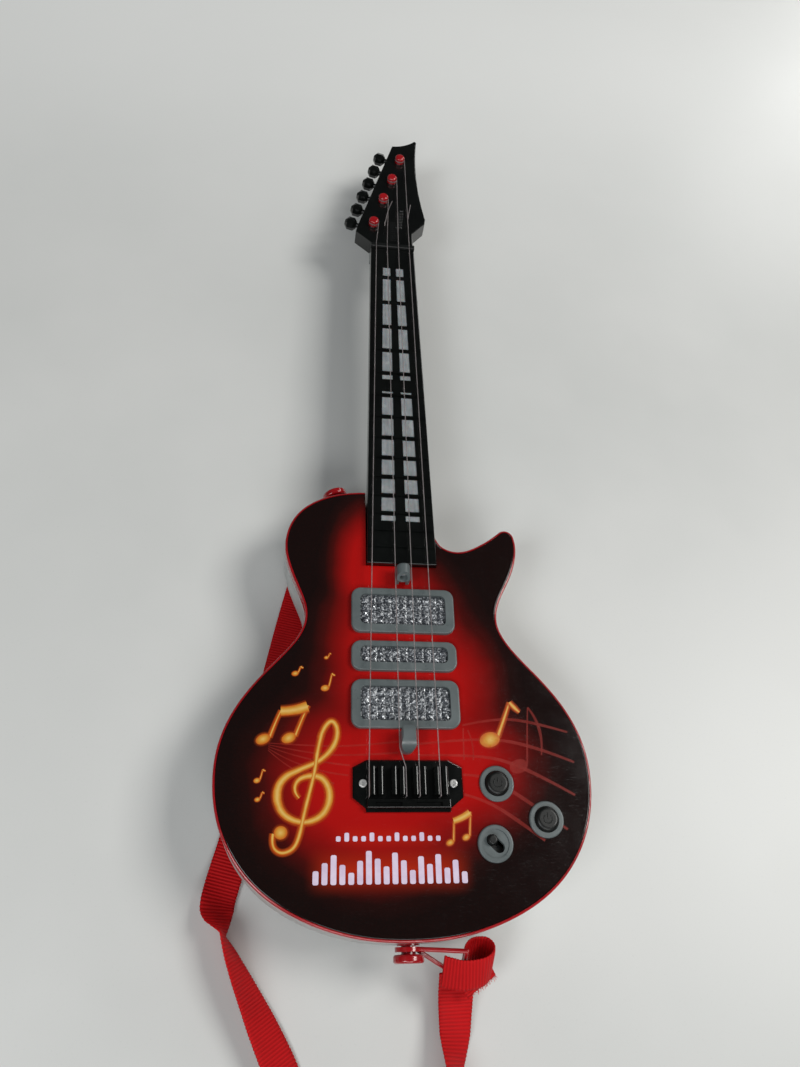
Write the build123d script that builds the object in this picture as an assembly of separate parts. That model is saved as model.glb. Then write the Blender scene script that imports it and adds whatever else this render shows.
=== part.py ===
from build123d import *
import math
import os

# A child's electronic guitar with a webbing strap, lying on its back. Millimetres, +Z up, +Y to the head.
# The origin is on the surface that the back rests on, under the middle of the guitar's length.
# Places along the guitar are dimensioned from the bridge line, and up() turns them into the frame's Y.

# overall
HEAD_TIP = 570.5
TAIL_END = -90.5
MIDDLE = (HEAD_TIP + TAIL_END) / 2

# body, from the resting face to the printed plate
FACE_Z = 45.0
PLATE_T = 1.6
DECK_T = 2.0
PART_Z = 37.0
FLANK_Z = 4.0
FLOOR_T = 2.5
RIM = 2.5
PLATE_GROW = 1.0
PLATE_CLEAR = 0.15
EDGE_R = 5.0
DECK_TOP = FACE_Z - PLATE_T
DECK_LOW = DECK_TOP - DECK_T
FLOOR_TOP = FLANK_Z + FLOOR_T

# body outline, right half of the round lower bout, then each side up to the neck
LOWER_BOUT = [
    (24, -77.0), (45, -72.0), (65, -63.6), (82, -52.0), (95, -37.0), (103.5, -19.5),
    (107.5, 2), (106.5, 20), (101.5, 36), (94, 49.5), (84.5, 62),
]
BOUT_LOW = (0, -78.6)
LEFT_WAIST = [(-73.5, 74.5), (-64.5, 86), (-59.4, 98), (-59.6, 109), (-63.8, 121), (-69.5, 135)]
LEFT_SHOULDER = [(-73.2, 150), (-71.6, 164), (-65, 176), (-54.5, 184.3), (-41, 189.6), (-23, 192)]
RIGHT_WAIST = [(73.5, 74.5), (64.3, 86.5), (59, 99), (59.4, 110), (64.2, 122.5), (70.6, 135), (74.9, 147)]
HORN_SIDE = (76.3, 157.5)
HORN_ROOT = (75.6, 163.2)
HORN_TOP = (73.2, 166.4)
HORN_END = (69.6, 165.7)
CUTAWAY = [(62, 159.6), (52, 153.4), (40, 149.2), (30, 150.8), (23, 157.5)]
HEEL_BULGE = (3, 180)

# raised centre of the back, clear of the strap's way under the left flank
PLATEAU = (-40, 40, -64, 150)
PLATEAU_R = 18.0

# neck and fingerboard
NECK_Y0 = 139.0
NUT_Y = 426.0
NUT_T = 4.0
NECK_END = 430.0
NECK_W0 = 46.0
NECK_W1 = 35.4
NECK_DEPTH = 16.0
NECK_SIDE = 5.0
BOARD_T = 4.0
BOARD_TOP = FACE_Z + BOARD_T
POCKET_CLEAR = 0.3
CHANNEL_HALF = 14.0
CHANNEL_Z = 37.5

# frets and the lit windows between them
FIRST_FRET = 394.0
FRET_STEP = 26.8
FRET_RATIO = 0.937
FRET_COUNT = 14
FRET_W = 1.3
FRET_H = 0.9
BAR_HALF = 1.5
WINDOW_GROUPS = [(290.4, 405.0), (170.5, 279.7)]
WINDOW_Y0 = 171.0
WINDOW_Y1 = 405.0
WINDOW_IN0 = 3.4
WINDOW_IN1 = 2.1
WINDOW_OUT0 = 13.1
WINDOW_OUT1 = 8.3
LENS_BASE_T = 1.4
LENS_SINK = 0.4

# headstock
HEAD_TOP = 46.0
HEAD_SPLIT = 39.5
HEAD_LOW = 32.0
HEAD_BEVEL = 1.0
HEAD_Y0 = 424.0
HEAD_NECK = 17.6
HEAD_LEFT_TOP = (2.9, 560.5)
HEAD_LEFT_LOW = (-28.3, 454.5)
HEAD_RIGHT_CORNER = (29.5, 468.0)
POST_R = 4.1
POST_H = 5.2
STRING_POSTS = [(-15.0, 457.5), (-6.4, 487.3), (1.5, 513.0), (9.0, 540.0)]

# tuner knobs, evenly spaced along the head's left edge
KNOB_COUNT = 6
KNOB_FIRST = 14.3
KNOB_PITCH = 17.95
KNOB_OUT = 7.4
KNOB_R = 5.2
KNOB_L = 9.8
KNOB_SIDES = 8
KNOB_BEVEL = 2.3
SHAFT_R = 2.0
SHAFT_IN = 7.0
SHAFT_CLEAR = 0.06

# strings: place at the nut and at the saddle
STRING_R = 0.3
NUT_X = [-13.5, -4.6, 4.6, 13.5]
SADDLE_X = [-23.0, -2.0, 5.7, 17.6]
NUT_STRING_Z = 51.2
SADDLE_STRING_Z = 53.0
SADDLE_HEAD_Y = 8.0
SADDLE_TAIL_Y = -6.0
ANCHOR_Y = -7.8
STRING_BEND = 0.6
SENSOR_BEND = (-5.2, 19.0)

# pickups: low edge, high edge and the lens inside
PICKUP_HALF = 32.8
PICKUP_LENS_HALF = 27.2
PICKUPS = {
    "neck_pickup": (91.8, 121.8, 97.1, 117.3),
    "middle_pickup": (67.0, 86.2, 72.2, 82.6),
    "bridge_pickup": (31.8, 61.4, 36.3, 57.2),
}
PICKUP_TOP = 48.0
PICKUP_R = 6.2
LENS_R = 3.4
LENS_TOP = 46.8
LENS_LOW = 44.2

# bridge
BRIDGE_HALF = 31.8
BRIDGE_HIGH = 13.4
BRIDGE_LOW = -15.4
BRIDGE_TOP = 47.4
SADDLE_PITCH = 12.3
RIB_APART = 4.6
RIB_R = 1.75
RIB_TOP = 52.6
BRIDGE_SCREW_X = 26.1

# strum sensor posts
SENSOR_HALF = 4.5
SENSOR_Z = 53.4
SENSOR_BORE = 2.6
BARREL_BACK = 135.8
BARREL_L = 10.6
BARREL_WALL = 2.2
BARREL_FACE_TILT = 30.0
CLAW_LOW = 16.9
CLAW_HIGH = 31.6

# controls
BUTTONS = {"upper_button": (52.1, 0.4), "right_button": (79.7, -19.6)}
SWITCH = (48.7, -32.4)
BEZEL_R = 10.2
BEZEL_TOP = 46.5
BEZEL_SKIRT = 8.8
BUTTON_R = 7.0
BUTTON_GAP = 0.3
BUTTON_TOP = 49.0
BUTTON_FLANGE = 8.3
BUTTON_LOW = 39.4
BUTTON_TRAVEL = 1.5
SLOT_ANGLE = -43.5
SLOT_TRAVEL = 5.6
SLOT_HALF = 3.1
SLIDER_R = 2.8
SLIDER_TOP = 49.4

# boards
BOARD_THICK = 1.6
MAIN_BOARD_Z = 30.0
LIGHT_BOARD_Z = 34.0
NECK_BOARD_Z = 38.2

# speaker
SPEAKER_Y = 78.0
SPEAKER_R = 25.0

# battery compartment and its door
BATTERY_HALF = 33.0
BATTERY_Y0 = -57.0
BATTERY_Y1 = 0.0
BATTERY_ROOF = 20.5
BATTERY_R = 7.1
BATTERY_L = 50.0
BATTERY_Y = [-9.5, -24.3, -39.1]
DOOR_T = 2.0
DOOR_Z = 0.4
DOOR_GAP = 0.3
DOOR_SCREW_Y = -51.5

# case screws through the back shell into the front shell's posts
CASE_SCREWS = [(-88, 24), (88, 24), (-62, -48), (64, -50), (-50, 102), (50, 102), (-57, 158), (60, 146)]
BOSS_R = 4.5
BOSS_TOP = 14.0
CASE_HEAD_Z = 8.0

# strap buttons and strap
STRAP_Z = 29.5
TOP_BUTTON = (-40.8, 192.7)
TOP_BUTTON_TURN = 18.0
STRAP_W = 20.0
STRAP_T = 1.2
# middle line of the webbing, from the lower clip, round its loop, under the left flank, to the upper clip
STRAP_ROUTE = [
    (39, -99, 10), (37, -109, 6), (32, -125, 2.5), (27, -147, 1.2), (33, -192, 1.1), (43, -246, 1.1),
    (37, -300, 1.1), (3, -331, 1.1), (-33, -308, 1.1), (-44, -258, 1.1), (-46, -204, 1.1),
    (-64, -150, 1.2), (-84, -108, 4), (-101, -74, 6.5), (-98, -46, 2.0), (-94, -18, 1.3), (-88, 22, 1.2),
    (-79, 66, 1.2), (-70, 112, 1.2), (-61, 152, 1.2), (-53, 182, 1.4), (-46, 202.5, 5.0),
]
# bend between straight stretches, as a share of the largest that fits
STRAP_EASE = 0.45

# strap buttons and wire clips: distances are out from the button's foot
STRAP_NECK_R = 4.0
STRAP_HEAD_R = 8.4
CLIP_EYE_Z = 2.6
CLIP_WIRE_R = 1.2
CLIP_SPREAD = 12.5


def up(y):
    return y - MIDDLE


def lifted(points):
    return [(x, up(y)) for x, y in points]


def block(x0, x1, y0, y1, z0, z1):
    centre = Pos((x0 + x1) / 2, up((y0 + y1) / 2), (z0 + z1) / 2)
    return centre * Box(x1 - x0, y1 - y0, z1 - z0)


def soft_block(x0, x1, y0, y1, radius, z0, z1):
    outline = RectangleRounded(x1 - x0, y1 - y0, radius)
    return Pos((x0 + x1) / 2, up((y0 + y1) / 2), z0) * extrude(outline, z1 - z0)


def disc(x, y, radius, z0, z1):
    return Pos(x, up(y), (z0 + z1) / 2) * Cylinder(radius, z1 - z0)


def slab(face, z0, z1):
    return Pos(0, 0, z0) * extrude(face, z1 - z0)


def rod(start, end, radius):
    start = Vector(*start)
    way = Vector(*end) - start
    return extrude(Plane(origin=start, z_dir=way) * Circle(radius), way.length)


def wire_rod(points, radius, bend):
    path = FilletPolyline(*[Vector(x, up(y), z) for x, y, z in points], radius=bend)
    return sweep(Plane(origin=path @ 0, z_dir=path % 0) * Circle(radius), path=path)


def top_edges(shape):
    return shape.edges().group_by(Axis.Z)[-1]


def low_edges(shape):
    return shape.edges().group_by(Axis.Z)[0]


def screw(head_r, head_h, shank_r, length):
    # head on top, its underside at z = 0, with a crossed recess
    head = fillet(top_edges(Pos(0, 0, head_h / 2) * Cylinder(head_r, head_h)), head_h * 0.4)
    body = head + Pos(0, 0, -length / 2) * Cylinder(shank_r, length)
    for turn in (0, 90):
        body -= Pos(0, 0, head_h) * Rot(0, 0, turn) * Box(head_r * 1.2, head_r * 0.32, head_h)
    return body


def save(node, *shapes):
    solids = [solid for shape in shapes for solid in shape.solids()]
    shape = solids[0] if len(solids) == 1 else Compound(children=solids)
    export_step(shape, os.path.join("parts", node + ".step"))


# body shells

def grown(loop, amount):
    # each point of a closed loop moved out square to the line between its neighbours
    moved = []
    for before, at, after in zip([loop[-1]] + loop[:-1], loop, loop[1:] + [loop[0]]):
        dx = after[0] - before[0]
        dy = after[1] - before[1]
        size = math.hypot(dx, dy)
        moved.append((at[0] + amount * dy / size, at[1] - amount * dx / size))
    return moved


def body_outline(amount=0.0):
    left_bout = [(-x, y) for x, y in reversed(LOWER_BOUT)]
    side = list(reversed(LEFT_SHOULDER)) + list(reversed(LEFT_WAIST)) + left_bout
    side += [BOUT_LOW] + LOWER_BOUT + RIGHT_WAIST + [HORN_SIDE, HORN_ROOT]
    loop = lifted(grown(side + [HORN_TOP, HORN_END] + CUTAWAY + [HEEL_BULGE], amount))
    tip = len(side)
    flank = Spline(*loop[:tip])
    horn = ThreePointArc(*loop[tip - 1:tip + 2])
    cutaway = Spline(*loop[tip + 1:-1])
    heel = ThreePointArc(loop[-2], loop[-1], loop[0])
    return make_face(Curve() + [flank, horn, cutaway, heel])


def neck_pocket():
    half = NECK_W0 / 2 + POCKET_CLEAR
    return block(-half, half, NECK_Y0 - POCKET_CLEAR, 230, FACE_Z - NECK_DEPTH - 0.2, 70)


def deck_holes(low, high):
    holes = block(-30, 30, 34, 60, low, high) + block(-30, 30, 69.5, 84, low, high)
    holes += block(-30, 30, 94, 119.6, low, high)
    for x, y in list(BUTTONS.values()) + [SWITCH]:
        holes += disc(x, y, BEZEL_SKIRT + 0.1, low, high)
    for y in (130.5, 22.0):
        holes += disc(0, y, 3.0, low, high)
    for side in (-1, 1):
        holes += disc(side * BRIDGE_SCREW_X, 0, 1.3, low, high)
    return holes


def board_posts():
    light_z = LIGHT_BOARD_Z + BOARD_THICK
    posts = [disc(x, y, 2.2, light_z, DECK_LOW + 0.5) for x in (-26, 26) for y in (64, 89)]
    for x, y in ((39, 10), (89, 10), (39, -39)):
        posts.append(disc(x, y, 2.2, MAIN_BOARD_Z + BOARD_THICK, DECK_LOW + 0.5))
    return posts


def front_shell(outline, rim):
    shell = slab(rim, PART_Z, FACE_Z)
    shell = fillet(top_edges(shell), 1.2)
    shell -= slab(body_outline(PLATE_GROW + PLATE_CLEAR), DECK_TOP, FACE_Z + 1)
    shell -= slab(outline, PART_Z - 1, DECK_LOW)
    for x, y in CASE_SCREWS:
        shell += disc(x, y, BOSS_R - 1.2, BOSS_TOP, DECK_LOW + 0.5) - disc(x, y, 1.3, BOSS_TOP, BOSS_TOP + 12)
    for post in board_posts():
        shell += post
    return shell - deck_holes(DECK_LOW - 1, DECK_TOP + 1) - neck_pocket()


def face_plate(outline):
    plate = slab(outline, DECK_TOP, FACE_Z)
    plate = fillet(top_edges(plate), 0.5)
    return plate - deck_holes(DECK_TOP - 1, FACE_Z + 1) - neck_pocket()


def speaker_slots():
    slots = []
    for row in range(-3, 4):
        reach = math.sqrt(20 ** 2 - (row * 5.5) ** 2)
        slot = SlotOverall(2 * reach, 2.4)
        slots.append(Pos(0, up(SPEAKER_Y + row * 5.5), -1) * extrude(slot, FLOOR_TOP + 2))
    return slots


def back_shell(outline, rim):
    shell = fillet(low_edges(slab(rim, FLANK_Z, PART_Z)), EDGE_R)
    plateau = soft_block(*PLATEAU, PLATEAU_R, 0, FLANK_Z + 0.5)
    shell += chamfer(low_edges(plateau), 2.0)
    shell -= slab(outline, FLOOR_TOP, PART_Z + 1)
    x0 = BATTERY_HALF
    shell += block(-x0 - 2, x0 + 2, BATTERY_Y0 - 2, BATTERY_Y1 + 2, FLOOR_TOP - 1, BATTERY_ROOF + 2)
    shell -= block(-x0, x0, BATTERY_Y0, BATTERY_Y1, -1, BATTERY_ROOF)
    shell += disc(0, DOOR_SCREW_Y, 3.2, DOOR_Z + DOOR_T + 0.2, BATTERY_ROOF)
    shell -= disc(0, DOOR_SCREW_Y, 1.2, 0, BATTERY_ROOF - 2)
    for x, y in CASE_SCREWS:
        shell += disc(x, y, BOSS_R, FLANK_Z + 0.2, BOSS_TOP)
        shell -= disc(x, y, 3.4, -1, CASE_HEAD_Z)
        shell -= disc(x, y, 1.5, CASE_HEAD_Z - 1, BOSS_TOP + 1)
    for slot in speaker_slots():
        shell -= slot
    for place in strap_button_places():
        shell -= place * rod((0, 0, 1), (0, 0, -12), 1.5)
    return shell - neck_pocket()


def case_screws():
    flipped = Rot(180, 0, 0) * screw(2.9, 1.9, 1.3, 12)
    return [Pos(x, up(y), CASE_HEAD_Z) * flipped for x, y in CASE_SCREWS]


# neck, fingerboard and headstock

def neck_half(y):
    part = (y - NECK_Y0) / (NECK_END - NECK_Y0)
    return (NECK_W0 + (NECK_W1 - NECK_W0) * part) / 2


def neck_section(y, depth):
    half = neck_half(y)
    plane = Plane(origin=(0, up(y), FACE_Z), x_dir=(1, 0, 0), z_dir=(0, -1, 0))
    sides = Polyline((-half, -NECK_SIDE), (-half, 0), (half, 0), (half, -NECK_SIDE))
    belly = ThreePointArc((half, -NECK_SIDE), (0, -depth), (-half, -NECK_SIDE))
    return plane * make_face(Curve() + [sides, belly])


def head_outline():
    right = Polyline(*lifted([(HEAD_NECK, HEAD_Y0), (HEAD_NECK, 450.0), (28.6, 463.5), HEAD_RIGHT_CORNER]))
    hollow = ThreePointArc(*lifted([HEAD_RIGHT_CORNER, (23.9, 514), (25.2, 569)]))
    tip = Line(*lifted([(25.2, 569), (23.4, HEAD_TIP)]))
    dip = ThreePointArc(*lifted([(23.4, HEAD_TIP), (11.5, 562.3), HEAD_LEFT_TOP]))
    corners = [HEAD_LEFT_TOP, HEAD_LEFT_LOW, (-29.8, 447.5), (-HEAD_NECK, 436.5), (-HEAD_NECK, HEAD_Y0)]
    left = Polyline(*lifted(corners + [(HEAD_NECK, HEAD_Y0)]))
    return make_face(Curve() + [right, hollow, tip, dip, left])


def head_edge():
    start = Vector(*lifted([HEAD_LEFT_TOP])[0])
    along = (Vector(*lifted([HEAD_LEFT_LOW])[0]) - start).normalized()
    return start, along


def knob_place(index):
    # on the head's left edge, z pointing out of the edge
    start, along = head_edge()
    spot = start + along * (KNOB_FIRST + index * KNOB_PITCH)
    outward = Vector(-abs(along.Y), abs(along.X), 0)
    return Plane(origin=(spot.X, spot.Y, HEAD_SPLIT), x_dir=(0, 0, 1), z_dir=outward)


def tuner_holes():
    holes = []
    for index in range(KNOB_COUNT):
        drill = Pos(0, 0, -SHAFT_IN / 2) * Cylinder(SHAFT_R + SHAFT_CLEAR, SHAFT_IN + 1)
        holes.append(knob_place(index) * drill)
    return holes


def neck_back():
    neck = loft([neck_section(NECK_Y0, NECK_DEPTH), neck_section(NECK_END, NECK_DEPTH - 2)])
    neck += chamfer(low_edges(slab(head_outline(), HEAD_LOW, HEAD_SPLIT)), HEAD_BEVEL)
    neck -= block(-CHANNEL_HALF, CHANNEL_HALF, NECK_Y0 + 3, 418, CHANNEL_Z, FACE_Z + 1)
    neck -= block(-40, 40, HEAD_Y0 - 0.1, 600, HEAD_SPLIT, 70)
    for hole in tuner_holes():
        neck -= hole
    return neck


def headstock_cover():
    cover = slab(head_outline(), HEAD_SPLIT, HEAD_TOP)
    cover -= block(-40, 40, HEAD_Y0 - 4, NECK_END, FACE_Z, HEAD_TOP + 1)
    cover = fillet(cover.faces().sort_by(Axis.Z)[-1].edges(), 0.8)
    for hole in tuner_holes():
        cover -= hole
    for x, y in STRING_POSTS:
        cover -= disc(x, y, 1.6, HEAD_SPLIT - 1, HEAD_TOP + 1)
    for index in range(9):
        y = 440 + index * 2.6
        cover += block(-1.5, 5.5, y, y + 1.2, HEAD_TOP - 0.5, HEAD_TOP + 0.6)
    return cover


def fret_places():
    place = FIRST_FRET
    step = FRET_STEP
    places = []
    for _ in range(FRET_COUNT):
        places.append(place)
        place -= step
        step *= FRET_RATIO
    return places


def windows():
    # low and high edge of each lit window
    edges = [FIRST_FRET + FRET_STEP] + fret_places()
    spans = []
    for high, low in zip(edges, edges[1:]):
        for first, last in WINDOW_GROUPS:
            y0 = max(low + BAR_HALF, first)
            y1 = min(high - BAR_HALF, last)
            if y1 - y0 > 1.5:
                spans.append((y0, y1))
    return spans


def window_edge(y, start, end):
    return start + (end - start) * (y - WINDOW_Y0) / (WINDOW_Y1 - WINDOW_Y0)


def window_pad(y0, y1, side, shrink, z0, z1):
    corners = []
    for y, grow in ((y0 + shrink, 0), (y1 - shrink, 1)):
        inner = side * (window_edge(y, WINDOW_IN0, WINDOW_IN1) + shrink)
        outer = side * (window_edge(y, WINDOW_OUT0, WINDOW_OUT1) - shrink)
        corners += [(inner, y), (outer, y)] if grow == 0 else [(outer, y), (inner, y)]
    return slab(make_face(Polyline(*lifted(corners), close=True)), z0, z1)


def fingerboard():
    w0 = neck_half(NECK_Y0)
    w1 = neck_half(NUT_Y)
    edge = Polyline(*lifted([(-w0, NECK_Y0), (w0, NECK_Y0), (w1, NUT_Y), (-w1, NUT_Y)]), close=True)
    board = slab(make_face(edge), FACE_Z, BOARD_TOP)
    board = fillet(top_edges(board), 0.9)
    for y in fret_places():
        half = neck_half(y) - 0.9
        board += block(-half, half, y - FRET_W / 2, y + FRET_W / 2, BOARD_TOP - 0.5, BOARD_TOP + FRET_H)
    for y0, y1 in windows():
        for side in (-1, 1):
            board -= window_pad(y0, y1, side, 0, FACE_Z - 1, BOARD_TOP + 3)
    board -= block(-13.6, 13.6, 169, 407, FACE_Z - 1, FACE_Z + LENS_BASE_T + 0.1)
    return board


def neck_lens(side):
    strip = window_pad(169.5, 406.5, side, -0.4, FACE_Z, FACE_Z + LENS_BASE_T)
    for y0, y1 in windows():
        strip += window_pad(y0, y1, side, 0.1, FACE_Z + 0.5, BOARD_TOP - LENS_SINK)
    return strip


def neck_light_board():
    return block(-11, 11, 160, 414, NECK_BOARD_Z, NECK_BOARD_Z + BOARD_THICK)


def neck_leds():
    low = NECK_BOARD_Z + BOARD_THICK
    lights = []
    for y0, y1 in windows():
        if y1 - y0 > 6:
            for side in (-1, 1):
                x = side * (window_edge(y0, WINDOW_IN0, WINDOW_IN1) + 3)
                y = (y0 + y1) / 2
                lights.append(block(x - 1.4, x + 1.4, y - 1.75, y + 1.75, low, low + 1.9))
    return lights


def nut():
    half = neck_half(NUT_Y)
    bar = block(-half, half, NUT_Y, NUT_Y + NUT_T, HEAD_TOP, NUT_STRING_Z + 0.4)
    bar += block(-half, half, NUT_Y, NUT_Y + NUT_T, FACE_Z, HEAD_TOP)
    bar = chamfer(top_edges(bar), 0.5)
    for x in NUT_X:
        bar -= block(x - 0.5, x + 0.5, NUT_Y - 1, NUT_Y + NUT_T + 1, NUT_STRING_Z - STRING_R, 60)
    return bar


def string_post(x, y):
    post = fillet(top_edges(disc(x, y, POST_R, HEAD_TOP, HEAD_TOP + POST_H)), 1.8)
    waist = disc(x, y, POST_R + 1, HEAD_TOP + 1.4, HEAD_TOP + 2.6)
    waist -= disc(x, y, POST_R - 0.5, HEAD_TOP + 1, HEAD_TOP + 3)
    return post - waist + disc(x, y, 1.6, HEAD_SPLIT + 1, HEAD_TOP)


def tuner_knob(index):
    # an eight-sided grip with wide bevels, on a round shaft
    grip = Pos(0, 0, KNOB_OUT - KNOB_L / 2) * extrude(RegularPolygon(KNOB_R, KNOB_SIDES), KNOB_L)
    grip = chamfer(list(top_edges(grip)) + list(low_edges(grip)), KNOB_BEVEL)
    shaft = Pos(0, 0, (KNOB_OUT - SHAFT_IN + 0.5) / 2) * Cylinder(SHAFT_R, KNOB_OUT + SHAFT_IN - 0.5)
    return knob_place(index) * (grip + shaft)


# strings

def guitar_string(index):
    post_x, post_y = STRING_POSTS[index]
    nut_x = NUT_X[index]
    saddle_x = SADDLE_X[index]
    route = [(post_x + POST_R + 0.1, post_y, HEAD_TOP + 2.0)]
    route += [(nut_x, NUT_Y + NUT_T, NUT_STRING_Z), (nut_x, NUT_Y, NUT_STRING_Z)]
    if index == 1:
        route.append((*SENSOR_BEND, SADDLE_STRING_Z - 0.1))
    route.append((saddle_x, SADDLE_HEAD_Y, SADDLE_STRING_Z))
    route.append((saddle_x, ANCHOR_Y, SADDLE_STRING_Z - 0.1))
    route.append((saddle_x, ANCHOR_Y, BRIDGE_TOP))
    return wire_rod(route, STRING_R, STRING_BEND)


# pickups and bridge

def pickup_frame(low, high, lens_low, lens_high):
    half = PICKUP_HALF
    frame = soft_block(-half, half, low, high, PICKUP_R, FACE_Z, PICKUP_TOP)
    frame = fillet(top_edges(frame), 0.9)
    frame += soft_block(-29.8, 29.8, low + 2.5, high - 2.4, 4, DECK_LOW, FACE_Z + 0.5)
    x = PICKUP_LENS_HALF
    frame -= soft_block(-x, x, lens_low, lens_high, LENS_R, DECK_LOW - 1, PICKUP_TOP + 1)
    return frame


def pickup_lens(lens_low, lens_high):
    x = PICKUP_LENS_HALF - 0.1
    return soft_block(-x, x, lens_low + 0.1, lens_high - 0.1, LENS_R - 0.1, LENS_LOW, LENS_TOP)


def pickup_light_board():
    return block(-29, 29, 33, 120, LIGHT_BOARD_Z, LIGHT_BOARD_Z + BOARD_THICK)


def pickup_leds():
    lights = []
    low = LIGHT_BOARD_Z + BOARD_THICK
    for y in (46.5, 77.4, 107.2):
        for x in (-18, 0, 18):
            lights.append(fillet(top_edges(disc(x, y, 2.5, low, low + 6.4)), 2.2))
    return lights


def bridge_plate():
    half = BRIDGE_HALF
    corners = [
        (-half + 8, BRIDGE_HIGH), (half - 8, BRIDGE_HIGH), (half, BRIDGE_HIGH - 4.2), (half, -7.5),
        (half - 7.2, -13.2), (half - 7.8, BRIDGE_LOW), (-half + 7.8, BRIDGE_LOW), (-half + 7.2, -13.2),
        (-half, -7.5), (-half, BRIDGE_HIGH - 4.2),
    ]
    plate = slab(make_face(Polyline(*lifted(corners), close=True)), FACE_Z, BRIDGE_TOP)
    plate = chamfer(top_edges(plate), 0.9)
    tail = block(-24, 24, -13.6, -8.4, BRIDGE_TOP - 0.5, BRIDGE_TOP + 2.2)
    tail = fillet(top_edges(tail), 0.8)
    for x in (-11.5, 11.5):
        tail -= block(x - 7.5, x + 7.5, -12.6, -10.4, BRIDGE_TOP + 0.8, BRIDGE_TOP + 3)
    plate += tail
    for side in (-1, 1):
        plate -= disc(side * BRIDGE_SCREW_X, 0, 1.5, FACE_Z - 1, BRIDGE_TOP + 1)
    return plate


def bridge_rib(x):
    low = BRIDGE_TOP
    rib = block(x - RIB_R, x + RIB_R, SADDLE_TAIL_Y - 0.8, SADDLE_HEAD_Y + 0.6, low, RIB_TOP)
    return fillet(rib.edges().filter_by(Axis.Y).group_by(Axis.Z)[-1], RIB_R - 0.15)


def bridge_saddle(x):
    pair = bridge_rib(x - RIB_APART / 2) + bridge_rib(x + RIB_APART / 2)
    return pair + block(x - 2, x + 2, -4, 5.5, BRIDGE_TOP, BRIDGE_TOP + 2.4)


def bridge_screw(x):
    return Pos(x, 0, BRIDGE_TOP) * Pos(0, up(0), 0) * screw(2.3, 1.3, 1.3, 8)


# strum sensor posts

def neck_sensor_post():
    # a round barrel on two legs, its mouth cut back so that it looks up at the strings
    along = Plane(origin=(0, up(BARREL_BACK), SENSOR_Z), x_dir=(1, 0, 0), z_dir=(0, -1, 0))
    barrel = along * Pos(0, 0, BARREL_L / 2) * Cylinder(SENSOR_HALF, BARREL_L)
    barrel = fillet(barrel.edges().filter_by(GeomType.CIRCLE), 1.6)
    post = barrel + block(-SENSOR_HALF + 0.1, SENSOR_HALF - 0.1, 129.5, 134.5, FACE_Z, SENSOR_Z)
    for side in (-1, 1):
        post += block(side * 3.3 - 1.1, side * 3.3 + 1.1, 125.9, 134.5, FACE_Z, SENSOR_Z)
    mouth = Pos(0, up(BARREL_BACK - BARREL_L + 1.2), SENSOR_Z) * Rot(-BARREL_FACE_TILT, 0, 0)
    post -= mouth * Pos(0, -10, 0) * Box(40, 20, 40)
    post += disc(0, 130.5, 3.0, DECK_LOW, FACE_Z + 1)
    return post - along * Pos(0, 0, (BARREL_WALL + BARREL_L + 2) / 2) * Cylinder(
        SENSOR_BORE, BARREL_L + 2 - BARREL_WALL)


def bridge_sensor_post():
    back = Spline((17.0, 45), (17.2, 50), (20.5, 55.6), (26, 57.6), (31.4, 56.6))
    front = Polyline((31.4, 56.6), (31.4, 50.4), (27.2, 48.6), (26.6, 45), (17.0, 45))
    side = Plane(origin=(SENSOR_HALF, 0, 0), x_dir=(0, 1, 0), z_dir=(1, 0, 0))
    claw = extrude(side * make_face(Curve() + [back, front]), -2 * SENSOR_HALF)
    claw = Pos(0, up(0), 0) * claw
    claw = claw & Pos(0, up(24), 51) * Rot(90, 0, 0) * extrude(RectangleRounded(9, 16, 4.3), 20, both=True)
    plan = RectangleRounded(2 * SENSOR_HALF, CLAW_HIGH - CLAW_LOW, SENSOR_HALF - 0.3)
    claw = claw & Pos(0, up((CLAW_LOW + CLAW_HIGH) / 2), FACE_Z) * extrude(plan, 20)
    claw += disc(0, 22, 3.0, DECK_LOW, FACE_Z + 1)
    bore = Plane(origin=(0, up(32), SENSOR_Z), x_dir=(1, 0, 0), z_dir=(0, -1, 0))
    return claw - bore * Pos(0, 0, 3) * Cylinder(SENSOR_BORE, 6)


def infrared_part(y, toward):
    along = Plane(origin=(0, up(y), SENSOR_Z), x_dir=(1, 0, 0), z_dir=(0, toward, 0))
    body = Pos(0, 0, 2.6) * Cylinder(SENSOR_BORE - 0.1, 5.2)
    return along * fillet(body.edges().group_by(Axis.Z)[-1], 2.2)


# controls

def button_bezel(x, y):
    ring = fillet(top_edges(disc(x, y, BEZEL_R, FACE_Z, BEZEL_TOP)), 0.8)
    ring += disc(x, y, BEZEL_SKIRT, DECK_LOW, FACE_Z + 0.5)
    return ring - disc(x, y, BUTTON_R + BUTTON_GAP, DECK_LOW - 1, BEZEL_TOP + 1)


def push_button(x, y):
    cap = disc(x, y, BUTTON_R, BUTTON_LOW, BUTTON_TOP)
    cap = fillet(top_edges(cap), 2.4)
    return cap + disc(x, y, BUTTON_FLANGE, BUTTON_LOW, BUTTON_LOW + 1.5)


def switch_slot(half, z0, z1, extra):
    x, y = SWITCH
    slot = SlotCenterToCenter(SLOT_TRAVEL + extra, 2 * half)
    return Pos(x, up(y), z0) * Rot(0, 0, SLOT_ANGLE) * extrude(slot, z1 - z0)


def switch_bezel():
    x, y = SWITCH
    ring = fillet(top_edges(disc(x, y, BEZEL_R, FACE_Z, BEZEL_TOP)), 0.8)
    ring -= disc(x, y, BEZEL_R - 2.4, BEZEL_TOP - 0.5, BEZEL_TOP + 1)
    ring += disc(x, y, BEZEL_SKIRT, DECK_TOP, FACE_Z + 0.5)
    return ring - switch_slot(SLOT_HALF, DECK_LOW, BEZEL_TOP + 1, 0)


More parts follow.
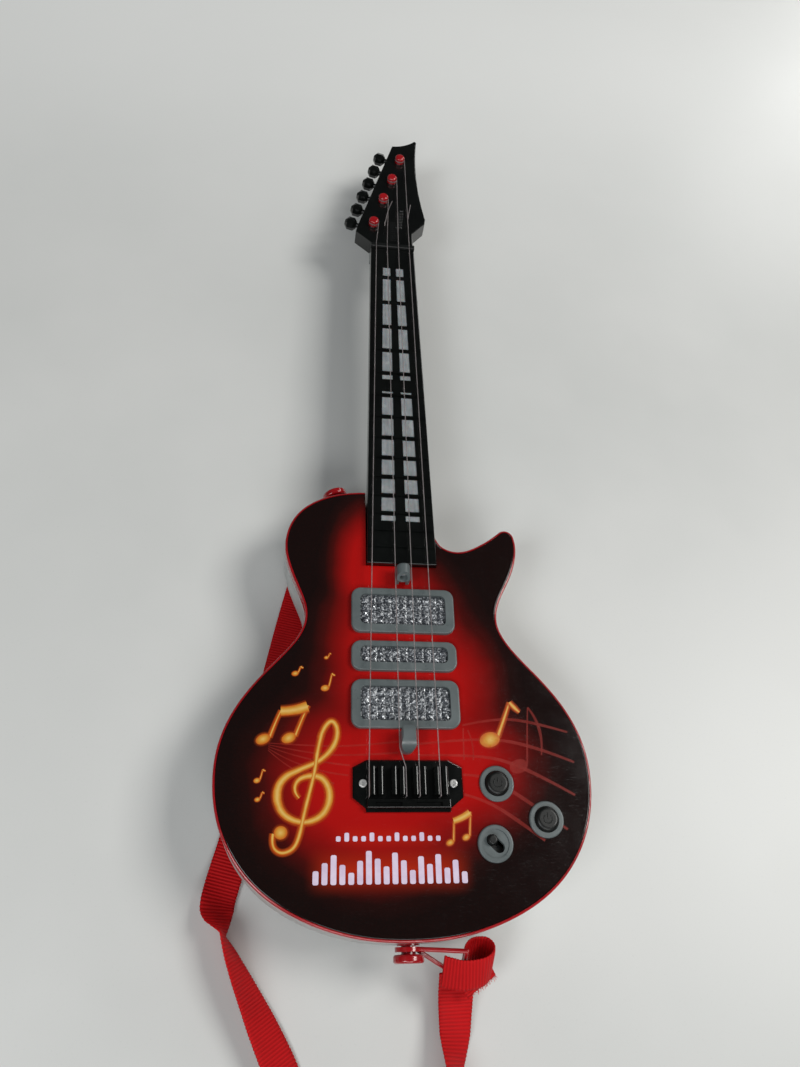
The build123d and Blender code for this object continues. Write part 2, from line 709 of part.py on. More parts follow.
def slide_knob():
    turn = math.radians(SLOT_ANGLE)
    x = SWITCH[0] - math.cos(turn) * SLOT_TRAVEL / 2
    y = SWITCH[1] - math.sin(turn) * SLOT_TRAVEL / 2
    low = MAIN_BOARD_Z + BOARD_THICK + 5.6
    knob = fillet(top_edges(disc(x, y, SLIDER_R, low, SLIDER_TOP)), 1.2)
    return knob + disc(x, y, 4.6, DECK_LOW - 1.2, DECK_LOW - 0.3)


def main_board():
    low = MAIN_BOARD_Z
    return block(36, 92, -42, 13, low, low + BOARD_THICK) - disc(88, -38, 12, low - 1, low + 3)


def tact_switches():
    low = MAIN_BOARD_Z + BOARD_THICK
    parts = []
    for x, y in BUTTONS.values():
        body = block(x - 3, x + 3, y - 3, y + 3, low, low + 3.6)
        parts.append(body + disc(x, y, 1.75, low + 3.6, BUTTON_LOW - BUTTON_TRAVEL - 0.2))
    return parts


def slide_switch():
    low = MAIN_BOARD_Z + BOARD_THICK
    x, y = SWITCH
    return Pos(x, up(y), low + 2.6) * Rot(0, 0, SLOT_ANGLE) * Box(15, 6.5, 5.2)


# speaker

def speaker_frame():
    low = FLOOR_TOP
    basket = disc(0, SPEAKER_Y, SPEAKER_R, low, low + 12)
    basket -= disc(0, SPEAKER_Y, SPEAKER_R - 1.2, low + 1.5, low + 11)
    return basket - disc(0, SPEAKER_Y, SPEAKER_R - 3, low - 1, low + 3) - disc(0, SPEAKER_Y, 8, low, low + 14)


def speaker_cone():
    low = FLOOR_TOP
    cone = Pos(0, up(SPEAKER_Y), low + 5.5) * Cone(SPEAKER_R - 3.4, 8, 8)
    return cone - Pos(0, up(SPEAKER_Y), low + 4.9) * Cone(SPEAKER_R - 4.4, 7, 8)


def speaker_magnet():
    return disc(0, SPEAKER_Y, 14, FLOOR_TOP + 12, FLOOR_TOP + 20)


# batteries

def battery_door():
    x = BATTERY_HALF - DOOR_GAP
    door = soft_block(-x, x, BATTERY_Y0 + DOOR_GAP, BATTERY_Y1 - DOOR_GAP, 1.5, DOOR_Z, DOOR_Z + DOOR_T)
    for row in range(5):
        y = -12 - row * 4
        door -= block(-12, 12, y, y + 1.6, DOOR_Z - 1, DOOR_Z + 0.6)
    door -= disc(0, DOOR_SCREW_Y, 1.5, DOOR_Z - 1, DOOR_Z + DOOR_T + 1)
    return door - disc(0, DOOR_SCREW_Y, 3.1, -1, DOOR_Z + 1.3)


def battery_door_screw():
    return Pos(0, up(DOOR_SCREW_Y), DOOR_Z + 1.3) * Rot(180, 0, 0) * screw(2.9, 1.2, 1.15, 7)


def batteries():
    cells = []
    for index, y in enumerate(BATTERY_Y):
        way = 1 if index % 2 else -1
        middle = Plane(origin=(-way * BATTERY_L / 2, up(y), 11.0), x_dir=(0, 1, 0), z_dir=(way, 0, 0))
        can = Pos(0, 0, (BATTERY_L - 1.5) / 2) * Cylinder(BATTERY_R, BATTERY_L - 1.5)
        nipple = Pos(0, 0, BATTERY_L - 0.75) * Cylinder(2.6, 1.5)
        cells.append(middle * (can + nipple))
    return cells


def battery_contacts():
    plates = []
    for side in (-1, 1):
        for y in BATTERY_Y:
            x = side * (BATTERY_L / 2 + 0.4)
            outward = Plane(origin=(x, up(y), 11), x_dir=(0, 1, 0), z_dir=(side, 0, 0))
            spring = outward * Pos(0, 0, 2.8) * Cone(2, 4.5, 5.6)
            wall = block(side * 31.6 - 0.4, side * 31.6 + 0.4, y - 6.5, y + 6.5, 4, 18)
            plates.append(spring + wall)
    return plates


# strap buttons, clips and strap

def strap_button_places():
    # z points out of the side of the body
    foot = (0, up(BOUT_LOW[1] - RIM - 0.02), STRAP_Z)
    low = Location(Plane(origin=foot, x_dir=(1, 0, 0), z_dir=(0, -1, 0)))
    turn = math.radians(TOP_BUTTON_TURN)
    out = (-math.sin(turn), math.cos(turn), 0)
    high = Location(Plane(origin=(TOP_BUTTON[0], up(TOP_BUTTON[1]), STRAP_Z), x_dir=(0, 0, 1), z_dir=out))
    return [low, high]


def strap_button():
    neck = Pos(0, 0, 2.5) * Cylinder(STRAP_NECK_R, 5.0)
    foot = Pos(0, 0, 0.4) * Cylinder(6.2, 0.8)
    head = Pos(0, 0, 7.2) * Cylinder(STRAP_HEAD_R, 4.4)
    head = fillet(head.edges().filter_by(GeomType.CIRCLE), 1.4)
    button = neck + foot + head
    return button - Pos(0, 0, 8.9) * Cylinder(3.2, 2) - Pos(0, 0, 4) * Cylinder(1.5, 12)


def strap_button_screw():
    return Pos(0, 0, 7.9) * screw(2.9, 1.1, 1.5, 18)


def clip_ring(reach, out, tilt):
    # an eye round the button's neck, two bars, and a crossbar that the strap goes round
    frame = Pos(0, 0, CLIP_EYE_Z) * (Cylinder(7.4, 2.4) - Cylinder(STRAP_NECK_R + 0.5, 4))
    ends = []
    for side in (-1, 1):
        start = Vector(5.2, side * 4.4, CLIP_EYE_Z)
        swing = side * CLIP_SPREAD
        end = Vector(reach, swing * math.cos(tilt), CLIP_EYE_Z + out + swing * math.sin(tilt))
        frame += rod(start, end, CLIP_WIRE_R)
        frame += Pos(*end) * Sphere(CLIP_WIRE_R)
        ends.append(end)
    return frame + rod(ends[0], ends[1], CLIP_WIRE_R)


def strap_clips():
    low, high = strap_button_places()
    lower = low * clip_ring(30, 8, math.radians(-30))
    upper = high * Rot(0, 0, 180) * clip_ring(21, 10, 0)
    return lower, upper


def strap_path():
    points = [Vector(x, up(y), z) for x, y, z in STRAP_ROUTE]
    radii = []
    for before, at, after in zip(points, points[1:], points[2:]):
        turn = math.radians((at - before).get_angle(after - at))
        shorter = min((at - before).length, (after - at).length)
        radii.append(round(STRAP_EASE * shorter / math.tan(turn / 2), 1))
    return FilletPolyline(*points, radius=radii)


def strap():
    path = strap_path()
    start = path @ 0
    way = path % 0
    section = Plane(origin=start, x_dir=Vector(0, 0, 1).cross(way), z_dir=way) * Rectangle(STRAP_W, STRAP_T)
    return sweep(section, path=path)


def main():
    os.makedirs("parts", exist_ok=True)
    outline = body_outline()
    rim = body_outline(RIM)
    save("front_shell", front_shell(outline, rim))
    save("back_shell", back_shell(outline, rim))
    save("face_plate", face_plate(body_outline(PLATE_GROW)))
    save("case_screws", *case_screws())
    save("neck_back", neck_back())
    save("headstock_cover", headstock_cover())
    save("fingerboard", fingerboard())
    save("neck_lens_left", neck_lens(-1))
    save("neck_lens_right", neck_lens(1))
    save("neck_light_board", neck_light_board())
    save("neck_leds", *neck_leds())
    save("nut", nut())
    save("string_posts", *[string_post(x, y) for x, y in STRING_POSTS])
    for index in range(KNOB_COUNT):
        save("tuner_knob_%d" % (index + 1), tuner_knob(index))
    for index in range(len(NUT_X)):
        save("string_%d" % (index + 1), guitar_string(index))
    for name, (low, high, lens_low, lens_high) in PICKUPS.items():
        save(name + "_frame", pickup_frame(low, high, lens_low, lens_high))
        save(name + "_lens", pickup_lens(lens_low, lens_high))
    save("pickup_light_board", pickup_light_board())
    save("pickup_leds", *pickup_leds())
    save("bridge_plate", bridge_plate())
    save("bridge_saddles", *[bridge_saddle(SADDLE_PITCH * step) for step in (-1.5, -0.5, 0.5, 1.5)])
    save("bridge_screws", bridge_screw(-BRIDGE_SCREW_X), bridge_screw(BRIDGE_SCREW_X))
    save("neck_sensor_post", neck_sensor_post())
    save("bridge_sensor_post", bridge_sensor_post())
    save("infrared_emitter", infrared_part(BARREL_BACK - BARREL_WALL, -1))
    save("infrared_receiver", infrared_part(26.1, 1))
    for name, place in BUTTONS.items():
        save(name + "_bezel", button_bezel(*place))
        save(name, push_button(*place))
    save("switch_bezel", switch_bezel())
    save("slide_knob", slide_knob())
    save("main_board", main_board())
    save("tact_switches", *tact_switches())
    save("slide_switch", slide_switch())
    save("speaker_frame", speaker_frame())
    save("speaker_cone", speaker_cone())
    save("speaker_magnet", speaker_magnet())
    save("battery_door", battery_door())
    save("battery_door_screw", battery_door_screw())
    save("batteries", *batteries())
    save("battery_contacts", *battery_contacts())
    low, high = strap_button_places()
    save("lower_strap_button", low * strap_button())
    save("upper_strap_button", high * strap_button())
    save("strap_button_screws", low * strap_button_screw(), high * strap_button_screw())
    lower, upper = strap_clips()
    save("lower_strap_clip", lower)
    save("upper_strap_clip", upper)
    save("strap", strap())


main()
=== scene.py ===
import math
import random

import bmesh
import bpy
from mathutils import Euler, Matrix, Vector


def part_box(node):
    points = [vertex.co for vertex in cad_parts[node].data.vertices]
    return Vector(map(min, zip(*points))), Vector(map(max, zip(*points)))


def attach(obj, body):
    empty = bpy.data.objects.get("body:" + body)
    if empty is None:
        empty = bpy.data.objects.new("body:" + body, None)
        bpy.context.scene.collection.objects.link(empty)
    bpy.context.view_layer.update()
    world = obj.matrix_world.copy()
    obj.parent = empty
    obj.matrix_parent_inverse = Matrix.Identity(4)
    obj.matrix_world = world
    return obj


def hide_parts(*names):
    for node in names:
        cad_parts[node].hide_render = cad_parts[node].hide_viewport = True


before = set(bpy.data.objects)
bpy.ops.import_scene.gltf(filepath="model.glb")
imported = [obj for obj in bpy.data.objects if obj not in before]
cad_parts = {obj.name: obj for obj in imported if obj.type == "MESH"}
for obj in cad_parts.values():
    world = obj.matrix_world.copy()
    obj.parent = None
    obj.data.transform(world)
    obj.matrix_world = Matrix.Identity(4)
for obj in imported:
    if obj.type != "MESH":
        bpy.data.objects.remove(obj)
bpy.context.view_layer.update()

# Places are in millimetres from the bridge line, as on the part's drawing; at() turns them into the frame.
MM = 0.001
BRIDGE_LINE = -240.0
FACE_Z = 45.0
PRINT_Z = 0.03
PRINT_STEP = 0.03
LAYERS = {"staff": 0, "halo": 1, "gold": 2, "bars": 2}
HEAD_TOP = 46.0
STRING_R = 0.3
# half the distance between the ribs woven across the strap
RIB_STEP = 0.9 * MM
# width in mm of one lengthwise yarn of the strap
YARN_PITCH = 0.8
dice = random.Random(7)


def at(x, y, z=0.0):
    return Vector((x, y + BRIDGE_LINE, z)) * MM


def middle(node):
    low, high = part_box(node)
    return (low + high) / 2


# Node materials

def new_material(name):
    material = bpy.data.materials.new(name)
    material.use_nodes = True
    tree = material.node_tree
    return material, tree.nodes, tree.links, tree.nodes["Principled BSDF"]


def rgb(red, green, blue):
    return (red, green, blue, 1.0)


def place_input(nodes, links, stretch):
    place = nodes.new("ShaderNodeTexCoord")
    scale = nodes.new("ShaderNodeMapping")
    scale.inputs["Scale"].default_value = stretch
    links.new(place.outputs["Object"], scale.inputs["Vector"])
    return scale.outputs["Vector"]


def noise(nodes, links, size, detail=4.0, rough=0.55, stretch=(1, 1, 1)):
    # size is the width of one mottle, in millimetres
    texture = nodes.new("ShaderNodeTexNoise")
    texture.inputs["Scale"].default_value = 1 / (size * MM)
    texture.inputs["Detail"].default_value = detail
    texture.inputs["Roughness"].default_value = rough
    links.new(place_input(nodes, links, stretch), texture.inputs["Vector"])
    return texture.outputs["Fac"]


def ramp(nodes, links, value, stops):
    band = nodes.new("ShaderNodeValToRGB")
    while len(band.color_ramp.elements) < len(stops):
        band.color_ramp.elements.new(0.5)
    for element, (place, colour) in zip(band.color_ramp.elements, stops):
        element.position = place
        element.color = colour
    links.new(value, band.inputs["Fac"])
    return band.outputs["Color"]


def remap(nodes, links, value, low, high, to_low, to_high, smooth=False):
    change = nodes.new("ShaderNodeMapRange")
    change.interpolation_type = "SMOOTHSTEP" if smooth else "LINEAR"
    for name, number in zip(("From Min", "From Max", "To Min", "To Max"), (low, high, to_low, to_high)):
        change.inputs[name].default_value = number
    links.new(value, change.inputs["Value"])
    return change.outputs["Result"]


def maths(nodes, links, operation, *values):
    node = nodes.new("ShaderNodeMath")
    node.operation = operation
    for socket, value in zip(node.inputs, values):
        if isinstance(value, (int, float)):
            socket.default_value = value
        else:
            links.new(value, socket)
    return node.outputs["Value"]


def mix_colour(nodes, links, share, first, second):
    node = nodes.new("ShaderNodeMix")
    node.data_type = "RGBA"
    for socket, value in zip((node.inputs[0], node.inputs[6], node.inputs[7]), (share, first, second)):
        if isinstance(value, (int, float, tuple)):
            socket.default_value = value
        else:
            links.new(value, socket)
    return node.outputs[2]


def scratches(nodes, links, angle_stretch, narrow=0.012):
    # long thin scuffs: high where a stretched noise crosses its middle value
    streak = noise(nodes, links, 9.0, 2.0, 0.4, angle_stretch)
    near = maths(nodes, links, "ABSOLUTE", maths(nodes, links, "SUBTRACT", streak, 0.5))
    return remap(nodes, links, near, 0.0, narrow, 1.0, 0.0)


def bump(nodes, links, height, strength, distance, under=None):
    node = nodes.new("ShaderNodeBump")
    node.inputs["Strength"].default_value = strength
    node.inputs["Distance"].default_value = distance * MM
    links.new(height, node.inputs["Height"])
    if under is not None:
        links.new(under, node.inputs["Normal"])
    return node.outputs["Normal"]


# Width in mm of one mottle, one dull patch and one wave of moulded plastic
MOTTLE = 14.0
DULL_PATCH = 5.0
WAVE = 11.0


def moulded(name, dark, light, rough, grain, grain_depth, scuff=0.12, **fixed):
    """Moulded plastic or metal: mottled colour, fine grain, and scuffs that dull the gloss."""
    material, nodes, links, shader = new_material(name)
    for socket, value in fixed.items():
        shader.inputs[socket.replace("_", " ")].default_value = value
    tone = noise(nodes, links, MOTTLE)
    scuffs = scratches(nodes, links, (1.0, 6.0, 3.0))
    colour = ramp(nodes, links, tone, [(0.32, rgb(*dark)), (0.68, rgb(*light))])
    pale = tuple(min(1.0, channel * 1.25 + 0.02) for channel in light)
    links.new(mix_colour(nodes, links, maths(nodes, links, "MULTIPLY", scuffs, scuff), colour, rgb(*pale)),
              shader.inputs["Base Color"])
    dull = remap(nodes, links, noise(nodes, links, DULL_PATCH), 0.3, 0.7, *rough)
    links.new(maths(nodes, links, "ADD", dull, maths(nodes, links, "MULTIPLY", scuffs, scuff)),
              shader.inputs["Roughness"])
    fine = noise(nodes, links, grain, 3.0)
    waves = noise(nodes, links, WAVE, 1.0)
    uneven = bump(nodes, links, waves, 0.35, 0.12)
    links.new(bump(nodes, links, fine, 0.6, grain_depth, uneven), shader.inputs["Normal"])
    return material


def red_gloss():
    return moulded("red_gloss_plastic", (0.27, 0.004, 0.007), (0.36, 0.007, 0.011), (0.16, 0.26), 0.7, 0.008,
                   Coat_Weight=0.5, Coat_Roughness=0.08, Subsurface_Weight=0.05, Subsurface_Scale=0.002)


def grey_shell():
    return moulded("light_grey_plastic", (0.36, 0.37, 0.36), (0.46, 0.47, 0.46), (0.42, 0.56), 0.45, 0.03,
                   scuff=0.2, Specular_IOR_Level=0.45)


def black_gloss():
    return moulded("black_gloss_plastic", (0.0016, 0.0020, 0.0018), (0.0034, 0.0042, 0.0038), (0.14, 0.22),
                   0.6, 0.003, scuff=0.05, Coat_Weight=0.3, Coat_Roughness=0.08, Specular_IOR_Level=0.38)


def black_matte():
    return moulded("black_matte_plastic", (0.0022, 0.0028, 0.0026), (0.0050, 0.0060, 0.0056), (0.34, 0.46),
                   0.35, 0.015, scuff=0.05, Specular_IOR_Level=0.4)


def grey_satin():
    return moulded("grey_plastic", (0.086, 0.104, 0.106), (0.118, 0.138, 0.140), (0.26, 0.38), 0.5, 0.015,
                   scuff=0.1, Specular_IOR_Level=0.5)


def steel():
    return moulded("steel", (0.60, 0.60, 0.59), (0.78, 0.78, 0.76), (0.22, 0.36), 0.2, 0.01, Metallic=0.6)


def string_steel():
    """Clear grey plastic-coated line with fine turns across it."""
    material, nodes, links, shader = new_material("string_steel")
    shader.inputs["Transmission Weight"].default_value = 0.72
    tone = noise(nodes, links, 6.0)
    links.new(ramp(nodes, links, tone, [(0.3, rgb(0.40, 0.36, 0.36)), (0.7, rgb(0.60, 0.54, 0.54))]),
              shader.inputs["Base Color"])
    links.new(remap(nodes, links, tone, 0.3, 0.7, 0.3, 0.45), shader.inputs["Roughness"])
    turns = nodes.new("ShaderNodeTexWave")
    turns.bands_direction = "Y"
    turns.inputs["Scale"].default_value = 1 / (1.2 * MM)
    links.new(place_input(nodes, links, (1, 1, 1)), turns.inputs["Vector"])
    links.new(bump(nodes, links, turns.outputs["Fac"], 0.5, 0.05), shader.inputs["Normal"])
    return material


def lens_silver():
    """Clear facets over a silvered tray: tiny cells painted from dark to bright stand in for the facets' dark
    reflections and glints.
    """
    material, nodes, links, shader = new_material("silver_lens")
    cells = nodes.new("ShaderNodeTexVoronoi")
    cells.inputs["Scale"].default_value = 1 / (0.8 * MM)
    links.new(place_input(nodes, links, (1, 1, 1)), cells.inputs["Vector"])
    split = nodes.new("ShaderNodeSeparateColor")
    links.new(cells.outputs["Color"], split.inputs["Color"])
    # painted reflection: each tiny cell takes a dark to bright tone, and the brightest ones are painted
    # glints
    painted_glints = ramp(nodes, links, split.outputs["Red"], [
        (0.2, rgb(0.040, 0.046, 0.056)),
        (0.7, rgb(0.13, 0.14, 0.155)),
        (0.95, rgb(0.50, 0.52, 0.54)),
    ])
    links.new(painted_glints, shader.inputs["Base Color"])
    links.new(remap(nodes, links, split.outputs["Green"], 0, 1, 0.12, 0.28), shader.inputs["Roughness"])
    links.new(remap(nodes, links, split.outputs["Blue"], 0, 1, 0.1, 0.6), shader.inputs["Metallic"])
    links.new(bump(nodes, links, cells.outputs["Distance"], 0.6, 0.3), shader.inputs["Normal"])
    shader.inputs["Coat Weight"].default_value = 0.3
    shader.inputs["Coat Roughness"].default_value = 0.08
    return material


def lens_white():
    """Milky clear strip behind the fingerboard windows, cloudy where a light sits under it."""
    material, nodes, links, shader = new_material("led_lens")
    cloud = noise(nodes, links, 7.0)
    streaks = noise(nodes, links, 1.2, 2.0, 0.5, (1.0, 0.12, 1.0))
    tone = mix_colour(nodes, links, 0.45, cloud, streaks)
    links.new(ramp(nodes, links, tone, [(0.3, rgb(0.20, 0.215, 0.225)), (0.7, rgb(0.34, 0.36, 0.37))]),
              shader.inputs["Base Color"])
    links.new(remap(nodes, links, cloud, 0.3, 0.7, 0.16, 0.3), shader.inputs["Roughness"])
    links.new(bump(nodes, links, streaks, 0.3, 0.03), shader.inputs["Normal"])
    shader.inputs["Subsurface Weight"].default_value = 0.25
    shader.inputs["Subsurface Scale"].default_value = 0.002
    shader.inputs["Coat Weight"].default_value = 0.5
    return material


def circuit_board():
    material, nodes, links, shader = new_material("circuit_board")
    tracks = nodes.new("ShaderNodeTexBrick")
    tracks.inputs["Scale"].default_value = 1 / (9 * MM)
    tracks.inputs["Mortar Size"].default_value = 0.03
    tracks.inputs["Color1"].default_value = rgb(0.012, 0.10, 0.035)
    tracks.inputs["Color2"].default_value = rgb(0.016, 0.13, 0.045)
    tracks.inputs["Mortar"].default_value = rgb(0.06, 0.26, 0.10)
    links.new(place_input(nodes, links, (1, 1, 1)), tracks.inputs["Vector"])
    links.new(tracks.outputs["Color"], shader.inputs["Base Color"])
    links.new(remap(nodes, links, noise(nodes, links, 4.0), 0.3, 0.7, 0.3, 0.5), shader.inputs["Roughness"])
    links.new(bump(nodes, links, tracks.outputs["Fac"], 0.4, 0.05), shader.inputs["Normal"])
    return material


def speaker_paper():
    return moulded("speaker_paper", (0.012, 0.011, 0.010), (0.030, 0.028, 0.025), (0.75, 0.92), 0.5, 0.1,
                   scuff=0.0)


def magnet_iron():
    return moulded("magnet_iron", (0.16, 0.16, 0.16), (0.30, 0.30, 0.29), (0.35, 0.5), 0.3, 0.02,
                   Metallic=0.85)


def battery_jacket():
    return moulded("battery_jacket", (0.012, 0.012, 0.014), (0.035, 0.035, 0.04), (0.25, 0.38), 0.8, 0.01,
                   Coat_Weight=0.3)


# The printed sunburst: red inside these soft ovals, near-black outside. Centre and reach in mm.
BURST = [
    ((-17, 2), (85, 72)),
    ((14, 10), (82, 60)),
    ((-4, 80), (60, 92)),
    ((4, 55), (72, 80)),
    ((-17, 138), (38, 62)),
]
BURST_BLEND = 0.12


def from_centre(nodes, links, place, centre):
    offset = nodes.new("ShaderNodeVectorMath")
    offset.operation = "SUBTRACT"
    offset.inputs[1].default_value = at(*centre, FACE_Z)
    links.new(place, offset.inputs[0])
    return offset.outputs["Vector"]


def oval_share(nodes, links, place, centre, reach):
    shrink = nodes.new("ShaderNodeVectorMath")
    shrink.operation = "DIVIDE"
    shrink.inputs[1].default_value = (reach[0] * MM, reach[1] * MM, 1.0)
    links.new(from_centre(nodes, links, place, centre), shrink.inputs[0])
    length = nodes.new("ShaderNodeVectorMath")
    length.operation = "LENGTH"
    links.new(shrink.outputs["Vector"], length.inputs[0])
    return maths(nodes, links, "SUBTRACT", 1.0, length.outputs["Value"])


def printed_plate():
    material, nodes, links, shader = new_material("printed_plate")
    place = place_input(nodes, links, (1, 1, 1))
    share = oval_share(nodes, links, place, *BURST[0])
    for centre, reach in BURST[1:]:
        near = oval_share(nodes, links, place, centre, reach)
        share = maths(nodes, links, "SMOOTH_MAX", share, near, BURST_BLEND)
    drift = remap(nodes, links, noise(nodes, links, 30.0, 2.0), 0.3, 0.7, -0.03, 0.03)
    share = maths(nodes, links, "ADD", share, drift)
    burst = ramp(nodes, links, share, [
        (0.0, rgb(0.0050, 0.0022, 0.0018)),
        (0.12, rgb(0.012, 0.0026, 0.0020)),
        (0.24, rgb(0.055, 0.0030, 0.0022)),
        (0.38, rgb(0.19, 0.0034, 0.0028)),
        (0.58, rgb(0.38, 0.0042, 0.0036)),
        (0.85, rgb(0.44, 0.0052, 0.0046)),
    ])
    dots = noise(nodes, links, 0.35, 1.0)
    dotted = remap(nodes, links, dots, 0.4, 0.7, 0.0, 0.012)
    ink = mix_colour(nodes, links, dotted, burst, rgb(0.5, 0.03, 0.02))
    glow = glow_share(nodes, links, place)
    links.new(mix_colour(nodes, links, glow, ink, rgb(0.62, 0.035, 0.006)), shader.inputs["Base Color"])
    scuffs = scratches(nodes, links, (1.0, 5.0, 1.0), 0.006)
    dull = remap(nodes, links, noise(nodes, links, 18.0), 0.3, 0.7, 0.10, 0.16)
    links.new(maths(nodes, links, "ADD", dull, maths(nodes, links, "MULTIPLY", scuffs, 0.15)),
              shader.inputs["Roughness"])
    links.new(bump(nodes, links, noise(nodes, links, 22.0, 1.0), 0.25, 0.15), shader.inputs["Normal"])
    shader.inputs["Coat Weight"].default_value = 0.35
    shader.inputs["Coat Roughness"].default_value = 0.05
    return material


# Soft orange light printed behind the bars: centre, half sizes and softness in mm, then strength
GLOWS = [((-10.7, -45.5), (37.0, 3.5), 11.0, 0.75), ((-11.6, -28.6), (25.5, 1.0), 8.0, 0.35)]
GLOW_BLEND = 14 * MM


def glow_share(nodes, links, place):
    total = None
    for centre, half, soft, strength in GLOWS:
        split = nodes.new("ShaderNodeSeparateXYZ")
        links.new(from_centre(nodes, links, place, centre), split.inputs["Vector"])
        gaps = []
        for axis, size in zip("XY", half):
            away = maths(nodes, links, "ABSOLUTE", split.outputs[axis])
            gaps.append(maths(nodes, links, "SUBTRACT", away, size * MM))
        gap = maths(nodes, links, "SMOOTH_MAX", *gaps, GLOW_BLEND)
        share = remap(nodes, links, gap, -soft * MM, soft * MM, strength, 0.0, True)
        total = share if total is None else maths(nodes, links, "MAXIMUM", total, share)
    return total


def strip_places(nodes, links):
    """How far along and how far across a strip each point lies, from the strip's UV map."""
    place = nodes.new("ShaderNodeUVMap")
    split = nodes.new("ShaderNodeSeparateXYZ")
    links.new(place.outputs["UV"], split.inputs["Vector"])
    return split.outputs["X"], split.outputs["Y"]


def gold_ink():
    """Printed gold: pale down the middle of a stroke, orange at both edges."""
    material, nodes, links, shader = new_material("gold_ink")
    _, across = strip_places(nodes, links)
    drift = remap(nodes, links, noise(nodes, links, 5.0), 0.3, 0.7, -0.12, 0.12)
    tone = maths(nodes, links, "ADD", across, drift)
    links.new(ramp(nodes, links, tone, [
        (0.05, rgb(0.70, 0.44, 0.12)),
        (0.40, rgb(0.62, 0.32, 0.050)),
        (0.72, rgb(0.56, 0.20, 0.018)),
        (1.0, rgb(0.50, 0.09, 0.008)),
    ]), shader.inputs["Base Color"])
    links.new(remap(nodes, links, noise(nodes, links, 3.0), 0.3, 0.7, 0.24, 0.36), shader.inputs["Roughness"])
    shader.inputs["Coat Weight"].default_value = 0.3
    return material


def halo_ink():
    """Soft orange light printed round the gold: fades out across the strip."""
    material, nodes, links, shader = new_material("halo_ink")
    _, across = strip_places(nodes, links)
    tone = noise(nodes, links, 8.0)
    links.new(ramp(nodes, links, tone, [(0.3, rgb(0.60, 0.07, 0.006)), (0.7, rgb(0.70, 0.12, 0.010))]),
              shader.inputs["Base Color"])
    links.new(remap(nodes, links, tone, 0.3, 0.7, 0.26, 0.36), shader.inputs["Roughness"])
    links.new(remap(nodes, links, across, 0.2, 1.0, 0.62, 0.0, True), shader.inputs["Alpha"])
    return material


def flat_ink(name, dark, light, cover=1.0):
    material, nodes, links, shader = new_material(name)
    tone = noise(nodes, links, 6.0)
    links.new(ramp(nodes, links, tone, [(0.3, rgb(*dark)), (0.7, rgb(*light))]), shader.inputs["Base Color"])
    links.new(remap(nodes, links, tone, 0.3, 0.7, 0.26, 0.36), shader.inputs["Roughness"])
    shader.inputs["Coat Weight"].default_value = 0.3
    shader.inputs["Alpha"].default_value = cover
    return material


def webbing():
    """Woven nylon: ribs across the band, fine lengthwise yarns, with painted shade darkening the valleys
    between them.
    """
    material, nodes, links, shader = new_material("red_webbing")
    along, across = strip_places(nodes, links)
    turn = maths(nodes, links, "MULTIPLY", along, math.pi * MM / RIB_STEP)
    rib = maths(nodes, links, "MULTIPLY", maths(nodes, links, "COSINE", turn), -1.0)
    yarn = maths(nodes, links, "SINE", maths(nodes, links, "MULTIPLY", across, 2 * math.pi / YARN_PITCH))
    cloud = noise(nodes, links, 16.0, 3.0)
    # painted shade and highlight: lighter on the rib crests and yarns, darker in the valleys between them
    weave_shade = maths(nodes, links, "ADD", remap(nodes, links, rib, -1, 1, -0.13, 0.09),
                  remap(nodes, links, yarn, -1, 1, -0.05, 0.05))
    tone = maths(nodes, links, "ADD", weave_shade, remap(nodes, links, cloud, 0.3, 0.7, 0.46, 0.56))
    colour = ramp(nodes, links, tone, [
        (0.25, rgb(0.30, 0.0030, 0.0045)),
        (0.5, rgb(0.47, 0.0050, 0.0070)),
        (0.75, rgb(0.58, 0.0075, 0.0100)),
    ])
    links.new(colour, shader.inputs["Base Color"])
    links.new(remap(nodes, links, cloud, 0.3, 0.7, 0.56, 0.68), shader.inputs["Roughness"])
    shader.inputs["Specular IOR Level"].default_value = 0.12
    fuzz = bump(nodes, links, noise(nodes, links, 0.4), 0.4, 0.05)
    links.new(bump(nodes, links, rib, 0.7, 0.16, fuzz), shader.inputs["Normal"])
    return material


def table_top():
    """Pale, slightly mottled table, with painted light making it lighter at its far side."""
    material, nodes, links, shader = new_material("table_top")
    tone = noise(nodes, links, 240.0, 4.0)
    specks = noise(nodes, links, 1.5, 2.0)
    colour = ramp(nodes, links, tone, [(0.3, rgb(0.60, 0.61, 0.595)), (0.7, rgb(0.66, 0.665, 0.65))])
    split = nodes.new("ShaderNodeSeparateXYZ")
    links.new(place_input(nodes, links, (1, 1, 1)), split.inputs["Vector"])
    # painted light: a smooth pool of light is mixed in, making the table lighter towards its far side
    far_light = remap(nodes, links, split.outputs["Y"], 0.1, 0.65, 0.0, 1.0, True)
    lit = mix_colour(nodes, links, far_light, colour, rgb(0.88, 0.89, 0.875))
    speckled = remap(nodes, links, specks, 0.62, 0.8, 0, 0.15)
    links.new(mix_colour(nodes, links, speckled, lit, rgb(0.4, 0.4, 0.39)), shader.inputs["Base Color"])
    links.new(remap(nodes, links, tone, 0.3, 0.7, 0.34, 0.46), shader.inputs["Roughness"])
    return material


FINISHES = {
    "red_gloss_plastic": red_gloss(), "light_grey_plastic": grey_shell(), "printed_plate": printed_plate(),
    "black_gloss_plastic": black_gloss(), "black_matte_plastic": black_matte(), "grey_plastic": grey_satin(),
    "silver_lens": lens_silver(), "led_lens": lens_white(), "circuit_board": circuit_board(),
    "steel": steel(), "string_steel": string_steel(), "speaker_paper": speaker_paper(),
    "magnet_iron": magnet_iron(), "battery_jacket": battery_jacket(), "red_webbing": webbing(),
}
GOLD = gold_ink()
HALO = halo_ink()
BAR_INK = flat_ink("bar_ink", (0.62, 0.50, 0.66), (0.74, 0.64, 0.78))
STAFF_INK = flat_ink("staff_ink", (0.50, 0.035, 0.025), (0.62, 0.06, 0.045), 0.14)


# Mesh building

